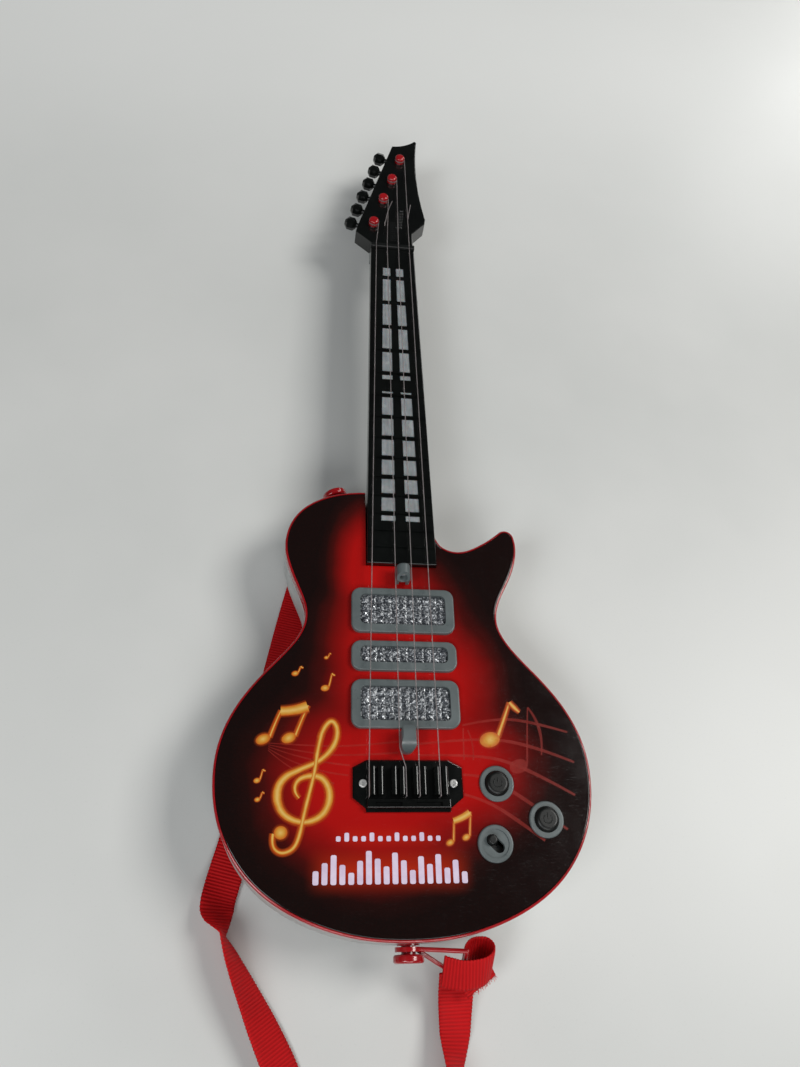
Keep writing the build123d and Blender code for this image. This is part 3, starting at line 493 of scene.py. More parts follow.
def add_piece(name, mesh, slot, finish=None, body="root", smooth=False):
    solid = bmesh.new()
    solid.from_mesh(mesh)
    bmesh.ops.recalc_face_normals(solid, faces=solid.faces)
    solid.to_mesh(mesh)
    solid.free()
    mesh.materials.clear()
    mesh.materials.append(FINISHES[slot] if finish is None else finish)
    for polygon in mesh.polygons:
        polygon.use_smooth = smooth
    piece = bpy.data.objects.new(name, mesh)
    bpy.context.scene.collection.objects.link(piece)
    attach(piece, body)
    return piece


def mesh_from(name, places, faces, uvs=None):
    mesh = bpy.data.meshes.new(name)
    mesh.from_pydata([tuple(place) for place in places], [], faces)
    if uvs is not None:
        layer = mesh.uv_layers.new(name="UVMap")
        for loop in mesh.loops:
            layer.data[loop.index].uv = uvs[loop.vertex_index]
    mesh.update()
    return mesh


def built_mesh(name, build):
    mesh = bpy.data.meshes.new(name)
    build.to_mesh(mesh)
    build.free()
    return mesh


def route_curve(points, radius, detail):
    """A smooth NURBS line with these control points, with a round section if it has a radius."""
    curve = bpy.data.curves.new("route", "CURVE")
    curve.dimensions = "3D"
    curve.resolution_u = detail
    curve.bevel_depth = radius
    curve.bevel_resolution = 3
    curve.use_fill_caps = True
    spline = curve.splines.new("NURBS")
    spline.points.add(len(points) - 1)
    for point, place in zip(spline.points, points):
        point.co = (*place, 1.0)
    spline.order_u = 3
    spline.use_endpoint_u = True
    return bpy.data.objects.new("route", curve)


def smooth_line(points, detail=16):
    holder = route_curve(points, 0.0, detail)
    line = bpy.data.meshes.new_from_object(holder)
    return [vertex.co.copy() for vertex in line.vertices]


def wires_mesh(name, routes, radius, detail):
    """Round wires of one radius along several routes, as one mesh."""
    build = bmesh.new()
    for points in routes:
        build.from_mesh(bpy.data.meshes.new_from_object(route_curve(points, radius, detail)))
    return built_mesh(name, build)


def at_share(values, share):
    # control values read at a share of the line's own parameter, as a quadratic spline spreads them
    spans = len(values) - 2
    place = share * spans
    knots = [0.0] + [index - 0.5 for index in range(1, len(values) - 1)] + [float(spans)]
    for index in range(len(knots) - 1):
        if place <= knots[index + 1]:
            part = (place - knots[index]) / (knots[index + 1] - knots[index])
            return values[index] + (values[index + 1] - values[index]) * part
    return values[-1]


def stations(line, step):
    """Places along a line every step: centre, direction, share of the line's parameter, distance run."""
    found = []
    need = 0.0
    run = 0.0
    for index in range(len(line) - 1):
        start, end = line[index], line[index + 1]
        length = (end - start).length
        while need <= run + length and length > 0:
            part = (need - run) / length
            share = (index + part) / (len(line) - 1)
            found.append((start.lerp(end, part), (end - start) / length, share, need))
            need += step
        run += length
    return found


# The strap

BAND_HALF = 10.0 * MM
BAND_THICK = 1.2 * MM
BAND_CLEAR = 0.05 * MM
BAND_ACROSS = 12
BAND_EDGE_THINNING = 0.45
# each woven rib stands this much proud, and widens the band by this share at its edges
RIB_CREST = 0.10 * MM
RIB_SPREAD = 0.010
RUFFLE_LENGTH = 9 * MM
# x, y, z from the bridge line in mm, and how far the band leans from flat, in degrees
STRAP_ROUTE = [
    (29, -95, 14, 8), (28.7, -107, 9, 4), (28, -124, 6, 24), (26, -147, 9, 68), (32, -192, 5, 30),
    (43, -246, 1.1, 0), (37, -300, 1.1, 0), (3, -331, 1.1, 0), (-33, -308, 1.1, 0), (-42, -258, 1.1, 0),
    (-46, -204, 1.1, -2), (-58, -152, 5, -26), (-78, -115, 8, -42), (-93, -88, 10, -68),
    (-100.5, -73, 10, -88), (-105.5, -62, 6, -24), (-102.5, -46, 2.5, -4), (-95, -18, 1.3, 0),
    (-88, 22, 1.2, 0), (-79, 66, 1.2, 0),
    (-70, 112, 1.2, 0), (-61, 152, 1.2, 0), (-53, 182, 1.4, 0), (-46, 202.5, 5.0, 0),
]
STRAP_DETAIL = 24


def band_mesh(name, places, ruffle):
    """A woven band: places are (centre, width direction, thickness direction, distance along)."""
    verts, faces, uvs = [], [], []
    ring = 2 * (BAND_ACROSS + 1)
    for number, (centre, wide, thick, along) in enumerate(places):
        crest = 1 if number % 2 else -1
        for side in (1, -1):
            for step in range(BAND_ACROSS + 1):
                across = side * (1 - 2 * step / BAND_ACROSS)
                half = BAND_HALF * (1 + RIB_SPREAD * crest * (abs(across) > 0.99))
                thin = 1 - BAND_EDGE_THINNING * abs(across) ** 8
                depth = side * (BAND_THICK / 2 * thin + RIB_CREST * crest)
                wave = ruffle * math.sin(along / RUFFLE_LENGTH) * across * abs(across)
                verts.append(centre + wide * (across * half) + thick * (depth + wave))
                uvs.append((along / MM, across * BAND_HALF / MM))
    for number in range(len(places) - 1):
        for step in range(ring):
            a = number * ring + step
            b = number * ring + (step + 1) % ring
            faces.append((a, b, b + ring, a + ring))
    faces.append(tuple(range(ring)))
    faces.append(tuple(range((len(places) - 1) * ring, len(places) * ring))[::-1])
    return mesh_from(name, verts, faces, uvs)


def strap():
    points = [at(x, y, z) for x, y, z, _ in STRAP_ROUTE]
    leans = [math.radians(lean) for _, _, _, lean in STRAP_ROUTE]
    line = smooth_line(points, STRAP_DETAIL)
    places, path = [], []
    for centre, along, share, run in stations(line, RIB_STEP):
        lean = at_share(leans, share)
        side = along.cross(Vector((0, 0, 1))).normalized()
        up = side.cross(along).normalized()
        wide = side * math.cos(lean) + up * math.sin(lean)
        thick = up * math.cos(lean) - side * math.sin(lean)
        lowest = BAND_HALF * abs(wide.z) + BAND_THICK * 0.6 * abs(thick.z) + BAND_CLEAR
        centre = Vector((centre.x, centre.y, max(centre.z, lowest)))
        places.append((centre, wide, thick, run))
        path.append(centre)
    mesh = band_mesh("strap_band", places, 0.25 * MM)
    piece = add_piece("strap_band", mesh, "red_webbing", smooth=True)
    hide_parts("strap")
    return piece, path


# The loop and the cut end at the lower clip, in mm from the bridge line
TAB_ROUTE = [
    (30, -90, 27), (33, -86.5, 22.5), (38.5, -85, 20.5), (45.5, -85.8, 21.5), (47.5, -91, 26.5),
    (42, -95.5, 31), (34, -97, 31.5), (26, -97, 30.5), (18.5, -94.5, 28),
]
TAB_LEAN = Vector((0.05, 0.72, 0.69)).normalized()
TAIL_ROUTE = [(37, -93.5, 18.5), (38.3, -96, 18.3), (40, -98.7, 17.5), (42.3, -102.5, 15.5)]
FRAY_COUNT = 46
FRAY_R = 0.11 * MM


def strap_tab():
    """The doubled end of the strap round the lower clip: a loop that stands on edge."""
    line = smooth_line([at(*point) for point in TAB_ROUTE])
    places = []
    for centre, along, _, run in stations(line, RIB_STEP):
        thick = along.cross(TAB_LEAN).normalized()
        wide = thick.cross(along).normalized()
        places.append((centre, wide, thick, run))
    return add_piece("strap_tab", band_mesh("strap_tab", places, 0.3 * MM), "red_webbing", smooth=True)


def strap_tail():
    """The cut end, flat under the loop, with its yarns fraying."""
    line = smooth_line([at(*point) for point in TAIL_ROUTE])
    places = []
    for centre, along, _, run in stations(line, RIB_STEP):
        side = along.cross(Vector((0, 0, 1))).normalized()
        places.append((centre, side, side.cross(along).normalized(), run))
    tail = add_piece("strap_tail", band_mesh("strap_tail", places, 0.4 * MM), "red_webbing", smooth=True)
    centre, wide, thick, _ = places[-1]
    along = wide.cross(thick)
    along = along if along.y < 0 else -along
    yarn_routes = []
    for number in range(FRAY_COUNT):
        across = BAND_HALF * (2 * (number + 0.5) / FRAY_COUNT - 1)
        start = centre + wide * across + thick * dice.uniform(-0.3, 0.3) * MM - along * 0.4 * MM
        reach = dice.uniform(1.0, 3.2) * MM
        bend = wide * dice.uniform(-1.0, 1.0) * MM + thick * dice.uniform(-0.6, 0.9) * MM
        yarn_routes.append([start, start + along * reach * 0.6 + bend * 0.2, start + along * reach + bend])
    mesh = wires_mesh("strap_fray", yarn_routes, FRAY_R, 4)
    yarns = add_piece("strap_fray", mesh, "red_webbing", smooth=True)
    return [tail, yarns]


# Printed art on the face

def print_height(layer):
    return FACE_Z + PRINT_Z + PRINT_STEP * LAYERS[layer]


INK_STEP = 0.4 * MM
INK_DETAIL = 10
INK_LANES = (-1, -0.5, 0, 0.5, 1)
INK_THICK = 0.02
FAINT_THICK = 0.008
# a stroke that crosses others is lifted in mm, so that no two lie in one plane
OVER_ONE = 0.025
OVER_TWO = 0.05


def stroke(points, layer, lift=0.0):
    """A flat printed strip along (x, y, width) points in mm: its places, faces and edge shares."""
    z = print_height(layer) + lift
    line = smooth_line([at(x, y, z) for x, y, _ in points], INK_DETAIL)
    widths = [width for _, _, width in points]
    places = stations(line, INK_STEP)
    verts, faces, uvs = [], [], []
    for centre, along, share, _ in places:
        side = along.cross(Vector((0, 0, 1))).normalized()
        half = at_share(widths, share) * MM / 2
        for across in INK_LANES:
            verts.append(centre + side * half * across)
            uvs.append((share, abs(across)))
    lanes = len(INK_LANES)
    for number in range(len(places) - 1):
        for lane in range(lanes - 1):
            a = number * lanes + lane
            faces.append((a, a + 1, a + lanes + 1, a + lanes))
    return verts, faces, uvs


def oval(x, y, wide, high, turn, layer, lift=0.0):
    """A note head, tilted by turn degrees, lighter at its rim."""
    z = print_height(layer) + lift
    verts, faces, uvs = [at(x, y, z)], [], [(0, 0.0)]
    count = 28
    for ring in (0.55, 1.0):
        for number in range(count):
            angle = 2 * math.pi * number / count
            place = Matrix.Rotation(math.radians(turn), 3, "Z") @ Vector(
                (math.cos(angle) * wide / 2 * ring, math.sin(angle) * high / 2 * ring, 0))
            verts.append(at(x + place.x, y + place.y, z))
            uvs.append((0, ring))
    for number in range(count):
        after = (number + 1) % count
        faces.append((0, 1 + number, 1 + after))
        faces.append((1 + number, 1 + count + number, 1 + count + after, 1 + after))
    return verts, faces, uvs


def joined(name, shapes, finish, thick=INK_THICK):
    """Flat printed shapes as one thin raised layer of ink."""
    verts, faces, uvs = [], [], []
    for shape_verts, shape_faces, shape_uvs in shapes:
        first = len(verts)
        verts += shape_verts
        uvs += shape_uvs
        faces += [tuple(first + index for index in face) for face in shape_faces]
    mesh = mesh_from(name, verts, faces, uvs)
    build = bmesh.new()
    build.from_mesh(mesh)
    bmesh.ops.recalc_face_normals(build, faces=build.faces)
    for face in build.faces:
        if face.normal.z < 0:
            face.normal_flip()
    grown = bmesh.ops.extrude_face_region(build, geom=build.faces[:])
    for element in grown["geom"]:
        if isinstance(element, bmesh.types.BMVert):
            element.co.z += thick * MM
    build.to_mesh(mesh)
    build.free()
    return add_piece(name, mesh, "printed_plate", finish)


CLEF_LINE = [
    (-61.5, -7.5, 0.8), (-64.6, -4.5, 1.6), (-63.5, 2.0, 2.4), (-57.0, 5.0, 3.2), (-48.0, 4.0, 3.7),
    (-43.5, -6.0, 4.2), (-47.5, -17.0, 3.8), (-58.5, -21.5, 2.8), (-70.5, -17.0, 3.8), (-74.8, -6.0, 4.9),
    (-71.5, 3.5, 4.1), (-61.0, 8.5, 3.0), (-50.0, 13.0, 2.7), (-42.0, 21.5, 3.2), (-40.0, 31.5, 2.9),
    (-44.0, 37.5, 2.8), (-49.3, 31.0, 2.5), (-50.6, 25.5, 2.3),
]
CLEF_STEM = [
    (-49.6, 29.0, 2.3), (-51.8, 20.0, 2.2), (-53.0, 8.0, 2.1), (-55.5, -3.0, 2.1), (-58.5, -15.5, 2.1),
    (-60.5, -27.0, 2.1), (-63.5, -34.5, 2.0), (-71.0, -37.0, 1.8), (-76.0, -32.0, 1.6), (-75.0, -26.0, 1.8),
]


def ink_stroke(points, grow, lift=0.0):
    layer = "halo" if grow else "gold"
    return stroke([(x, y, width + grow) for x, y, width in points], layer, lift)


def ink_oval(x, y, wide, high, turn, grow, lift):
    return oval(x, y, wide + grow, high + grow, turn, "halo" if grow else "gold", lift)


def clef(grow):
    return [ink_stroke(CLEF_LINE, grow), ink_stroke(CLEF_STEM, grow, OVER_ONE),
            ink_oval(-71.0, -25.8, 7.4, 7.0, 0, grow, OVER_TWO)]


# In the notes, a stem, a flag and a beam take their widths as shares of the head's length or the beam's depth


def beamed_pair(left, right, left_top, right_top, head, beam, grow):
    """Two joined notes: head centres, stem tops, head length and beam depth."""
    shapes = []
    for (x, y), (top_x, top_y) in ((left, left_top), (right, right_top)):
        shapes.append(ink_oval(x, y, head, head * 0.66, 24, grow, OVER_ONE))
        foot = (x + head * 0.42, y + head * 0.12, head * 0.16)
        half_way = ((foot[0] + top_x) / 2 + 0.1, (foot[1] + top_y) / 2, head * 0.12)
        shapes.append(ink_stroke([foot, half_way, (top_x, top_y - beam * 0.4, head * 0.10)], grow))
    (x0, y0), (x1, y1) = left_top, right_top
    sag = beam * 0.2
    shapes.append(ink_stroke([
        (x0 - 0.3, y0 - beam / 2, beam * 0.8), ((x0 + x1) / 2, (y0 + y1) / 2 - beam / 2 - sag, beam * 0.85),
        (x1 - 0.2, y1 - beam / 2, beam * 0.95)], grow, OVER_TWO))
    return shapes


def single_note(x, y, head, stem_x, stem_y, flag_x, flag_y, grow):
    """One note with a flag: head centre and length, stem top, flag tip."""
    foot = (x + head * 0.40, y + head * 0.15, head * 0.16)
    half_way = ((foot[0] + stem_x) / 2 + 0.3, (foot[1] + stem_y) / 2, head * 0.13)
    return [
        ink_oval(x, y, head, head * 0.72, 14, grow, OVER_ONE),
        ink_stroke([foot, half_way, (stem_x, stem_y, head * 0.08)], grow),
        ink_stroke([(stem_x, stem_y, head * 0.16),
                    (stem_x + (flag_x - stem_x) * 0.45, stem_y - head * 0.28, head * 0.2),
                    (flag_x, flag_y, head * 0.05)], grow, OVER_TWO),
    ]


# head centre, head length and stem height of each small note
TINY_NOTES = [(-47.8, 75.1, 2.6, 3.0), (-66.3, 64.7, 4.2, 4.6), (-48.2, 56.0, 5.2, 9.2),
              (-85.3, 2.0, 3.8, 6.2), (-84.5, -8.3, 3.2, 4.2)]
# how much wider the printed light is than the gold, in mm
HALO_GROW = 3.2
TINY_GROW = 1.4
BAR_HEIGHTS = [7, 11, 15, 10, 6, 12, 17, 13, 9, 16, 12, 7, 14, 10, 15, 8, 12, 6]
BAR_PITCH = 4.8
BAR_WIDE = 3.2
BAR_BASE_Y = -52.5
BAR_FIRST_X = -51.5
PIP_COUNT = 13
PIP_PITCH = 4.65
PIP_FIRST_X = -39.5
PIP_BASE_Y = -30.6
PIP_WIDE = 2.6
PIP_HIGH = 2.8
PIP_TALL = 4.6


def note_shapes(grow):
    shapes = clef(grow)
    shapes += beamed_pair((-83.2, 25.2), (-68.6, 26.0), (-73.6, 44.9), (-57.9, 48.0), 8.6, 6.6, grow)
    shapes += beamed_pair((22.9, -31.6), (32.3, -28.8), (25.8, -18.0), (35.6, -13.4), 4.8, 4.2, grow * 0.6)
    shapes += single_note(50.2, 26.0, 12.5, 64.3, 49.0, 70.2, 42.8, grow)
    for x, y, head, tall in TINY_NOTES:
        small = TINY_GROW if grow else 0.0
        top = y + tall
        shapes += single_note(x, y, head, x + head * 0.75, top, x + head * 1.2, top - head * 0.2, small)
    return shapes


def gold_notes():
    joined("printed_note_glow", note_shapes(HALO_GROW), HALO, FAINT_THICK)
    joined("printed_gold_notes", note_shapes(0.0), GOLD)


def rounded_bar(x, y, wide, high):
    """A printed upright bar with round corners, its foot at y."""
    z = print_height("bars")
    radius = min(wide, high) * 0.3
    corners = [(x + wide / 2 - radius, y + high - radius, 0), (x - wide / 2 + radius, y + high - radius, 90),
               (x - wide / 2 + radius, y + radius, 180), (x + wide / 2 - radius, y + radius, 270)]
    verts = []
    for cx, cy, start in corners:
        for step in range(5):
            angle = math.radians(start + 22.5 * step)
            verts.append(at(cx + radius * math.cos(angle), cy + radius * math.sin(angle), z))
    return verts, [tuple(range(len(verts)))], [(0, 0.5)] * len(verts)


def level_bars():
    """Plain sound-level bars where the face has its large print, and a row of pips above them."""
    shapes = []
    for number, high in enumerate(BAR_HEIGHTS):
        shapes.append(rounded_bar(BAR_FIRST_X + number * BAR_PITCH, BAR_BASE_Y, BAR_WIDE, high))
    for number in range(PIP_COUNT):
        high = PIP_TALL if number % 3 == 1 else PIP_HIGH
        shapes.append(rounded_bar(PIP_FIRST_X + number * PIP_PITCH, PIP_BASE_Y, PIP_WIDE, high))
    joined("printed_level_bars", shapes, BAR_INK)


# Faint staff lines swept across the face, left of and right of the bridge
STAFF_LEFT = [
    [(-80, 23, 0.5), (-55, 21.5, 0.9), (-30, 21.5, 1.1), (-4, 24.5, 1.2)],
    [(-80, 22, 0.5), (-55, 17, 0.9), (-33, 16, 1.1), (-5, 18, 1.2)],
    [(-80, 21, 0.5), (-57, 12.5, 0.9), (-33, 10.6, 1.1)],
    [(-80, 20, 0.5), (-60, 7.5, 0.9), (-34, 5.0, 1.1)],
    [(-80, 19, 0.5), (-62, 3.0, 0.9), (-42, 0.5, 1.1)],
]
STAFF_RIGHT = [
    [(34, 34.5, 1.2), (54, 39, 1.5), (76, 37.5, 1.8), (99, 31, 1.2)],
    [(6, 23, 1.2), (40, 27, 1.5), (72, 24.5, 2.0), (101, 13, 1.4)],
    [(6, 16.5, 1.2), (40, 17.5, 1.5), (68, 11.5, 2.2), (99, -6, 1.4)],
    [(32.5, 5.5, 1.4), (44, 5.5, 1.6), (62, -3.5, 2.2), (92, -25, 1.4)],
    [(32.5, -5.5, 1.4), (44, -8.5, 1.6), (60, -17.5, 2.2), (78, -31, 1.4)],
]
# the faint note on them: its stem and flag, then two short strokes nearer the bridge
STAFF_NOTE = [
    [(71.8, 12, 1.2), (73.5, 30, 1.0), (75.5, 46, 0.8)],
    [(75.5, 46, 1.2), (84.5, 34, 2.0), (81, 17, 0.8)],
    [(33.8, 14, 0.9), (34.3, 32, 0.9), (34.5, 33, 0.9)],
    [(39.4, 14, 0.9), (40.5, 24, 1.0), (37, 32, 0.9)],
]


def staff_lines():
    shapes = [stroke(line, "staff") for line in STAFF_LEFT + STAFF_RIGHT]
    shapes.append(oval(66.5, 10.5, 11.5, 8.0, 20, "staff"))
    shapes += [stroke(line, "staff") for line in STAFF_NOTE]
    joined("printed_staff_lines", shapes, STAFF_INK, FAINT_THICK)


# Clear parts

GEM_GRIDS = {"neck_pickup_lens": (11, 4), "middle_pickup_lens": (11, 2), "bridge_pickup_lens": (11, 4)}
GEM_SIDES = 8
GEM_DEEP = 0.9 * MM
GEM_RIM = 0.55 * MM
GEM_CORNER_R = 3.4 * MM
# each ring of facets: its share of the stone's size, and its height over the stone's foot
GIRDLE_SHARE = 0.74
GIRDLE_UP = 0.42 * MM
TABLE_SHARE = 0.19
TABLE_UP = 0.72 * MM
TIP_UP = 0.85 * MM


def pickup_gems(node):
    """A tray lens pressed into rows of cut stones, inside a narrow plain rim."""
    low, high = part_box(node)
    columns, rows = GEM_GRIDS[node]
    x0, x1, y0, y1 = low.x + GEM_RIM, high.x - GEM_RIM, low.y + GEM_RIM, high.y - GEM_RIM
    wide, deep = (x1 - x0) / columns, (y1 - y0) / rows
    base = high.z - GEM_DEEP
    verts, faces = [], []

    def quad_ring(first, second):
        count = len(first)
        for number in range(count):
            after = (number + 1) % count
            faces.append((first[number], first[after], second[after], second[number]))

    def add(x, y, z):
        verts.append(Vector((x, y, z)))
        return len(verts) - 1

    for column in range(columns):
        for row in range(rows):
            cx, cy = x0 + (column + 0.5) * wide, y0 + (row + 0.5) * deep
            edge, girdle, table = [], [], []
            for number in range(GEM_SIDES):
                angle = 2 * math.pi / GEM_SIDES * number
                reach = 1 / max(abs(math.cos(angle)), abs(math.sin(angle)))
                dx, dy = math.cos(angle) * wide / 2, math.sin(angle) * deep / 2
                edge.append(add(cx + dx * reach, cy + dy * reach, base))
                tilt = dice.uniform(-0.1, 0.1) * MM
                girdle.append(add(cx + dx * GIRDLE_SHARE, cy + dy * GIRDLE_SHARE, base + GIRDLE_UP + tilt))
                turned = angle + math.pi / GEM_SIDES
                flat_x = cx + math.cos(turned) * wide * TABLE_SHARE
                flat_y = cy + math.sin(turned) * deep * TABLE_SHARE
                table.append(add(flat_x, flat_y, base + TABLE_UP + dice.uniform(-0.08, 0.08) * MM))
            quad_ring(edge, girdle)
            for number in range(GEM_SIDES):
                after = (number + 1) % GEM_SIDES
                faces.append((girdle[number], girdle[after], table[number]))
                faces.append((girdle[after], table[after], table[number]))
            tip = add(cx + dice.uniform(-0.3, 0.3) * MM, cy + dice.uniform(-0.3, 0.3) * MM, base + TIP_UP)
            for number in range(GEM_SIDES):
                faces.append((table[number], table[(number + 1) % GEM_SIDES], tip))
    outline = []
    for number, (x, y) in enumerate([(high.x, high.y), (low.x, high.y), (low.x, low.y), (high.x, low.y)]):
        inset_x = x - math.copysign(GEM_CORNER_R, x - middle(node).x)
        inset_y = y - math.copysign(GEM_CORNER_R, y - middle(node).y)
        for step in range(7):
            angle = math.radians(90 * number + 15 * step)
            out_x, out_y = GEM_CORNER_R * math.cos(angle), GEM_CORNER_R * math.sin(angle)
            outline.append((inset_x + out_x, inset_y + out_y))
    rim_top = [add(x, y, base) for x, y in outline]
    rim_low = [add(x, y, low.z) for x, y in outline]
    quad_ring(rim_top, rim_low)
    faces.append(tuple(rim_low))
    faces.append(tuple(rim_top))
    mesh = mesh_from(node + "_gems", verts, faces)
    build = bmesh.new()
    build.from_mesh(mesh)
    bmesh.ops.remove_doubles(build, verts=build.verts, dist=0.01 * MM)
    build.to_mesh(mesh)
    build.free()
    piece = add_piece(node + "_gems", mesh, "silver_lens")
    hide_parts(node)


WINDOW_RIB = 0.95 * MM
WINDOW_RIB_DEEP = 0.32 * MM
WINDOW_DEEP = 3.0 * MM


def window_corners(node):
    """The trapezoid tops of a lens strip, as (y, low x, high x) pairs read from its own mesh."""
    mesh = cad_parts[node].data
    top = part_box(node)[1].z
    rows = {}
    for vertex in mesh.vertices:
        if vertex.co.z > top - 0.02 * MM:
            rows.setdefault(round(vertex.co.y, 5), []).append(vertex.co.x)
    edges = sorted((y, min(xs), max(xs)) for y, xs in rows.items())
    return list(zip(edges[::2], edges[1::2]))


def window_strip(node):
    """The lens strip behind one row of windows, each window pressed with fine cross ribs."""
    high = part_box(node)[1]
    base = high.z - WINDOW_DEEP
    verts, faces = [], []
    for (y0, left0, right0), (y1, left1, right1) in window_corners(node):
        count = max(2, round((y1 - y0) / WINDOW_RIB))
        first = len(verts)
        for number in range(2 * count + 1):
            share = number / (2 * count)
            y = y0 + (y1 - y0) * share
            z = high.z - (WINDOW_RIB_DEEP if number % 2 == 0 else 0.0)
            for x in (left0 + (left1 - left0) * share, right0 + (right1 - right0) * share):
                verts.append(Vector((x, y, z)))
        for number in range(2 * count):
            a = first + 2 * number
            faces.append((a, a + 1, a + 3, a + 2))
        last = first + 4 * count
        foot = len(verts)
        verts += [Vector((left0, y0, base)), Vector((right0, y0, base)), Vector((left1, y1, base)),
                  Vector((right1, y1, base))]
        faces.append(tuple(range(first, last + 1, 2)) + (foot + 2, foot))
        faces.append(tuple(range(first + 1, last + 2, 2)) + (foot + 3, foot + 1))
        faces.append((first, first + 1, foot + 1, foot))
        faces.append((last, last + 1, foot + 3, foot + 2))
        faces.append((foot, foot + 1, foot + 3, foot + 2))
    piece = add_piece(node + "_ribbed", mesh_from(node, verts, faces), "led_lens")
    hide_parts(node)


# Strings at the head

STRING_POSTS = [(-15.0, 457.5), (-6.4, 487.3), (1.5, 513.0), (9.0, 540.0)]
# a post's radius where the string lies, the first turn's height over the head, and the rise at each step
POST_WAIST = 3.6
TURN_UP = 1.75
TURN_RISE = 0.035
TURN_STEPS = 30
STEPS_PER_TURN = 12
STRING_ENDS = [
    [(-6.2, 451, 50.6), (-4.8, 461, 52.4), (-2.4, 471, 52.8), (0.6, 480.5, 51.6)],
    [(13.8, 462, 50.0), (14.5, 470, 51.0), (16.2, 478.5, 51.2)],
]


def string_turns():
    """Each string's last turns round its post."""
    radius = POST_WAIST + STRING_R + 0.05
    routes = []
    for x, y in STRING_POSTS:
        route = []
        for step in range(TURN_STEPS):
            angle = -2 * math.pi * step / STEPS_PER_TURN
            route.append(at(x + radius * math.cos(angle), y + radius * math.sin(angle),
                            HEAD_TOP + TURN_UP + TURN_RISE * step))
        routes.append(route)
    mesh = wires_mesh("string_turns", routes, STRING_R * MM, 6)
    add_piece("string_turns", mesh, "string_steel", smooth=True)


def loose_ends():
    """The short loose ends of two strings, past their posts."""
    routes = [[at(*point) for point in points] for points in STRING_ENDS]
    mesh = wires_mesh("string_ends", routes, STRING_R * MM, 8)
    add_piece("string_ends", mesh, "string_steel", smooth=True)


# Moulded marks

HEAD_MARKS = 7
MARK_FIRST = (6.0, 455.5)
MARK_PITCH = (0.55, 3.4)
MARK_HALF = (3.0, 0.7)
MARK_NARROWS = 0.18
MARK_HIGH = 0.75 * MM


def raised_bar(build, centre, half, high):
    """A pillow-edged raised bar, for moulded marks."""
    made = bmesh.ops.create_grid(build, x_segments=6, y_segments=6, size=1.0)["verts"]
    for vertex in made:
        x, y = vertex.co.x, vertex.co.y
        crown = (1 - x ** 6) * (1 - y ** 6)
        vertex.co = centre + Vector((x * half[0], y * half[1], high * crown))


def head_marks():
    """A short ladder of raised bars moulded down the middle of the head."""
    build = bmesh.new()
    for number in range(HEAD_MARKS):
        x, y = (first + pitch * number for first, pitch in zip(MARK_FIRST, MARK_PITCH))
        half = ((MARK_HALF[0] - MARK_NARROWS * number) * MM, MARK_HALF[1] * MM)
        raised_bar(build, at(x, y, HEAD_TOP - 0.02), half, MARK_HIGH)
    add_piece("head_marks", built_mesh("head_marks", build), "black_gloss_plastic", smooth=True)


TOUCH_R = 2.6 * MM
TOUCH_WIRE_R = 0.28 * MM
# places up the bar from the button's centre, each with how deep it is sunk
TOUCH_BAR = [(3.2 * MM, 0.05 * MM), (1.6 * MM, 0.03 * MM), (0.0, 0.05 * MM)]
TOUCH_SUNK = 0.05 * MM
TOUCH_ARC = [math.radians(130 + 28 * step) for step in range(11)]


def button_mark(node, body):
    """Raised ring and bar on a push button's crown: a plain touch mark."""
    centre = middle(node)
    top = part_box(node)[1].z
    ring = [Vector((centre.x + TOUCH_R * math.cos(angle), centre.y + TOUCH_R * math.sin(angle),
                    top - TOUCH_SUNK)) for angle in TOUCH_ARC]
    bar = [Vector((centre.x, centre.y + up, top - sunk)) for up, sunk in TOUCH_BAR]
    mesh = wires_mesh(node + "_mark", [ring, bar], TOUCH_WIRE_R, 6)
    add_piece(node + "_mark", mesh, "black_matte_plastic", body=body, smooth=True)


# Stage

CAMERA_PLACE = (-72.3, -93.8, 515.0)
CAMERA_TURN = (28.63, -7.91, -1.51)
CAMERA_LENS = 36.38
CAMERA_SENSOR = 36.0


def camera():
    data = bpy.data.cameras.new("camera")
    data.sensor_fit = "HORIZONTAL"
    data.sensor_width = CAMERA_SENSOR
    data.lens = CAMERA_LENS
    data.clip_start = 0.01
    holder = bpy.data.objects.new("camera", data)
    holder.location = at(*CAMERA_PLACE)
    holder.rotation_euler = Euler([math.radians(turn) for turn in CAMERA_TURN], "XYZ")
    bpy.context.scene.collection.objects.link(holder)
    bpy.context.scene.camera = holder


TABLE_SIZE = 2.6
TABLE_CELLS = 24
TABLE_DROP = 0.1 * MM


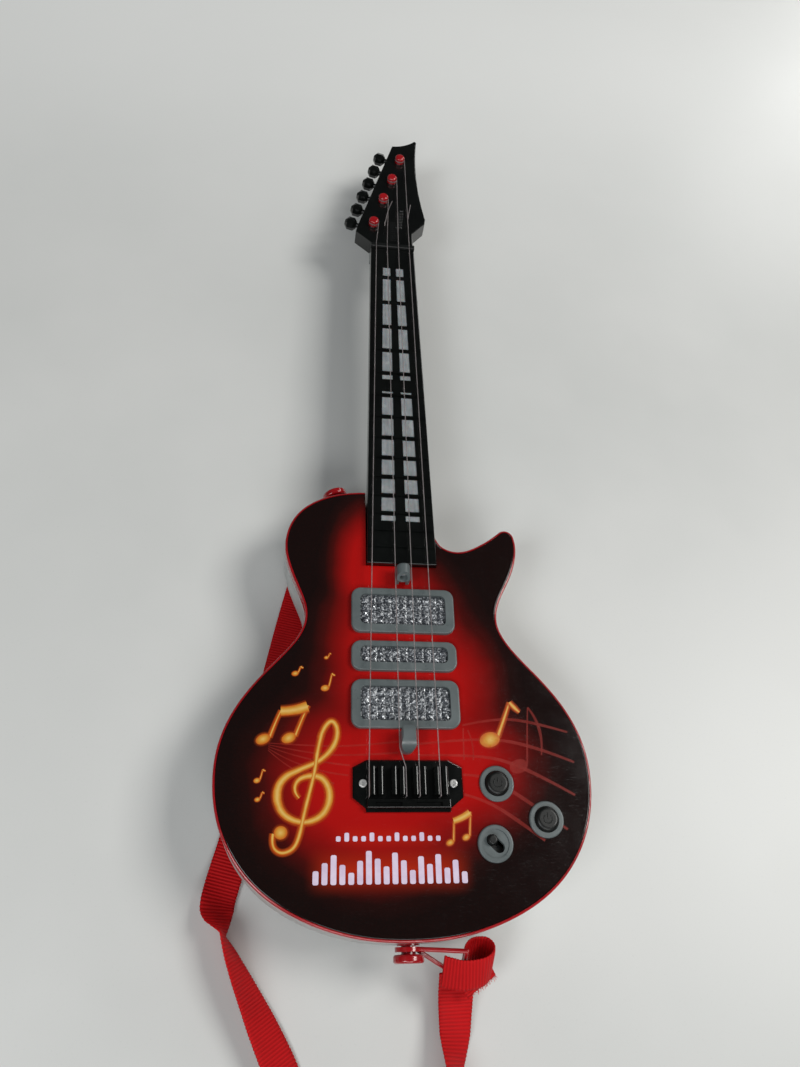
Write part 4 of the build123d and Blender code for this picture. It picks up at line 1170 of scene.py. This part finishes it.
def floor():
    build = bmesh.new()
    bmesh.ops.create_grid(build, x_segments=TABLE_CELLS, y_segments=TABLE_CELLS, size=TABLE_SIZE)
    mesh = built_mesh("table_top", build)
    mesh.materials.append(table_top())
    piece = bpy.data.objects.new("table_top", mesh)
    piece.location.z = -TABLE_DROP
    bpy.context.scene.collection.objects.link(piece)


# name, place in metres, width, depth, watts, colour
LAMPS = [
    ("key_lamp", (1.75, 0.2, 2.1), 1.1, 1.1, 44.0, (1.0, 0.99, 0.96)),
    ("left_lamp", (-1.5, -1.3, 1.9), 1.1, 1.1, 26.0, (0.95, 0.98, 1.0)),
    ("front_lamp", (0.1, -2.3, 1.7), 1.8, 0.8, 26.0, (1.0, 1.0, 1.0)),
    ("far_lamp", (2.4, 3.0, 1.6), 0.9, 0.9, 16.0, (1.0, 1.0, 0.98)),
]
SKY = (0.93, 0.96, 1.0)
SKY_STRENGTH = 0.045


def lamps():
    for name, place, wide, deep, power, colour in LAMPS:
        data = bpy.data.lights.new(name, "AREA")
        data.shape = "RECTANGLE"
        data.size = wide
        data.size_y = deep
        data.energy = power
        data.color = colour
        lamp = bpy.data.objects.new(name, data)
        lamp.location = place
        lamp.rotation_euler = (-Vector(place)).to_track_quat("-Z", "Y").to_euler()
        bpy.context.scene.collection.objects.link(lamp)
    world = bpy.data.worlds.new("studio")
    world.use_nodes = True
    backing = world.node_tree.nodes["Background"]
    backing.inputs["Color"].default_value = rgb(*SKY)
    backing.inputs["Strength"].default_value = SKY_STRENGTH
    bpy.context.scene.world = world
    bpy.context.scene.view_settings.view_transform = "Standard"


def dress_nodes():
    """Each CAD node keeps its shape and takes the node material of its own slot."""
    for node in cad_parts.values():
        for holder in node.material_slots:
            holder.material = FINISHES[holder.material.name.split(".")[0]]


def main():
    dress_nodes()
    camera()
    band, path = strap()
    extras = [strap_tab(), *strap_tail()]
    staff_lines()
    gold_notes()
    level_bars()
    for node in GEM_GRIDS:
        pickup_gems(node)
    for node in ("neck_lens_left", "neck_lens_right"):
        window_strip(node)
    string_turns()
    loose_ends()
    head_marks()
    for node in ("upper_button", "right_button"):
        button_mark(node, node)
    floor()
    lamps()


main()
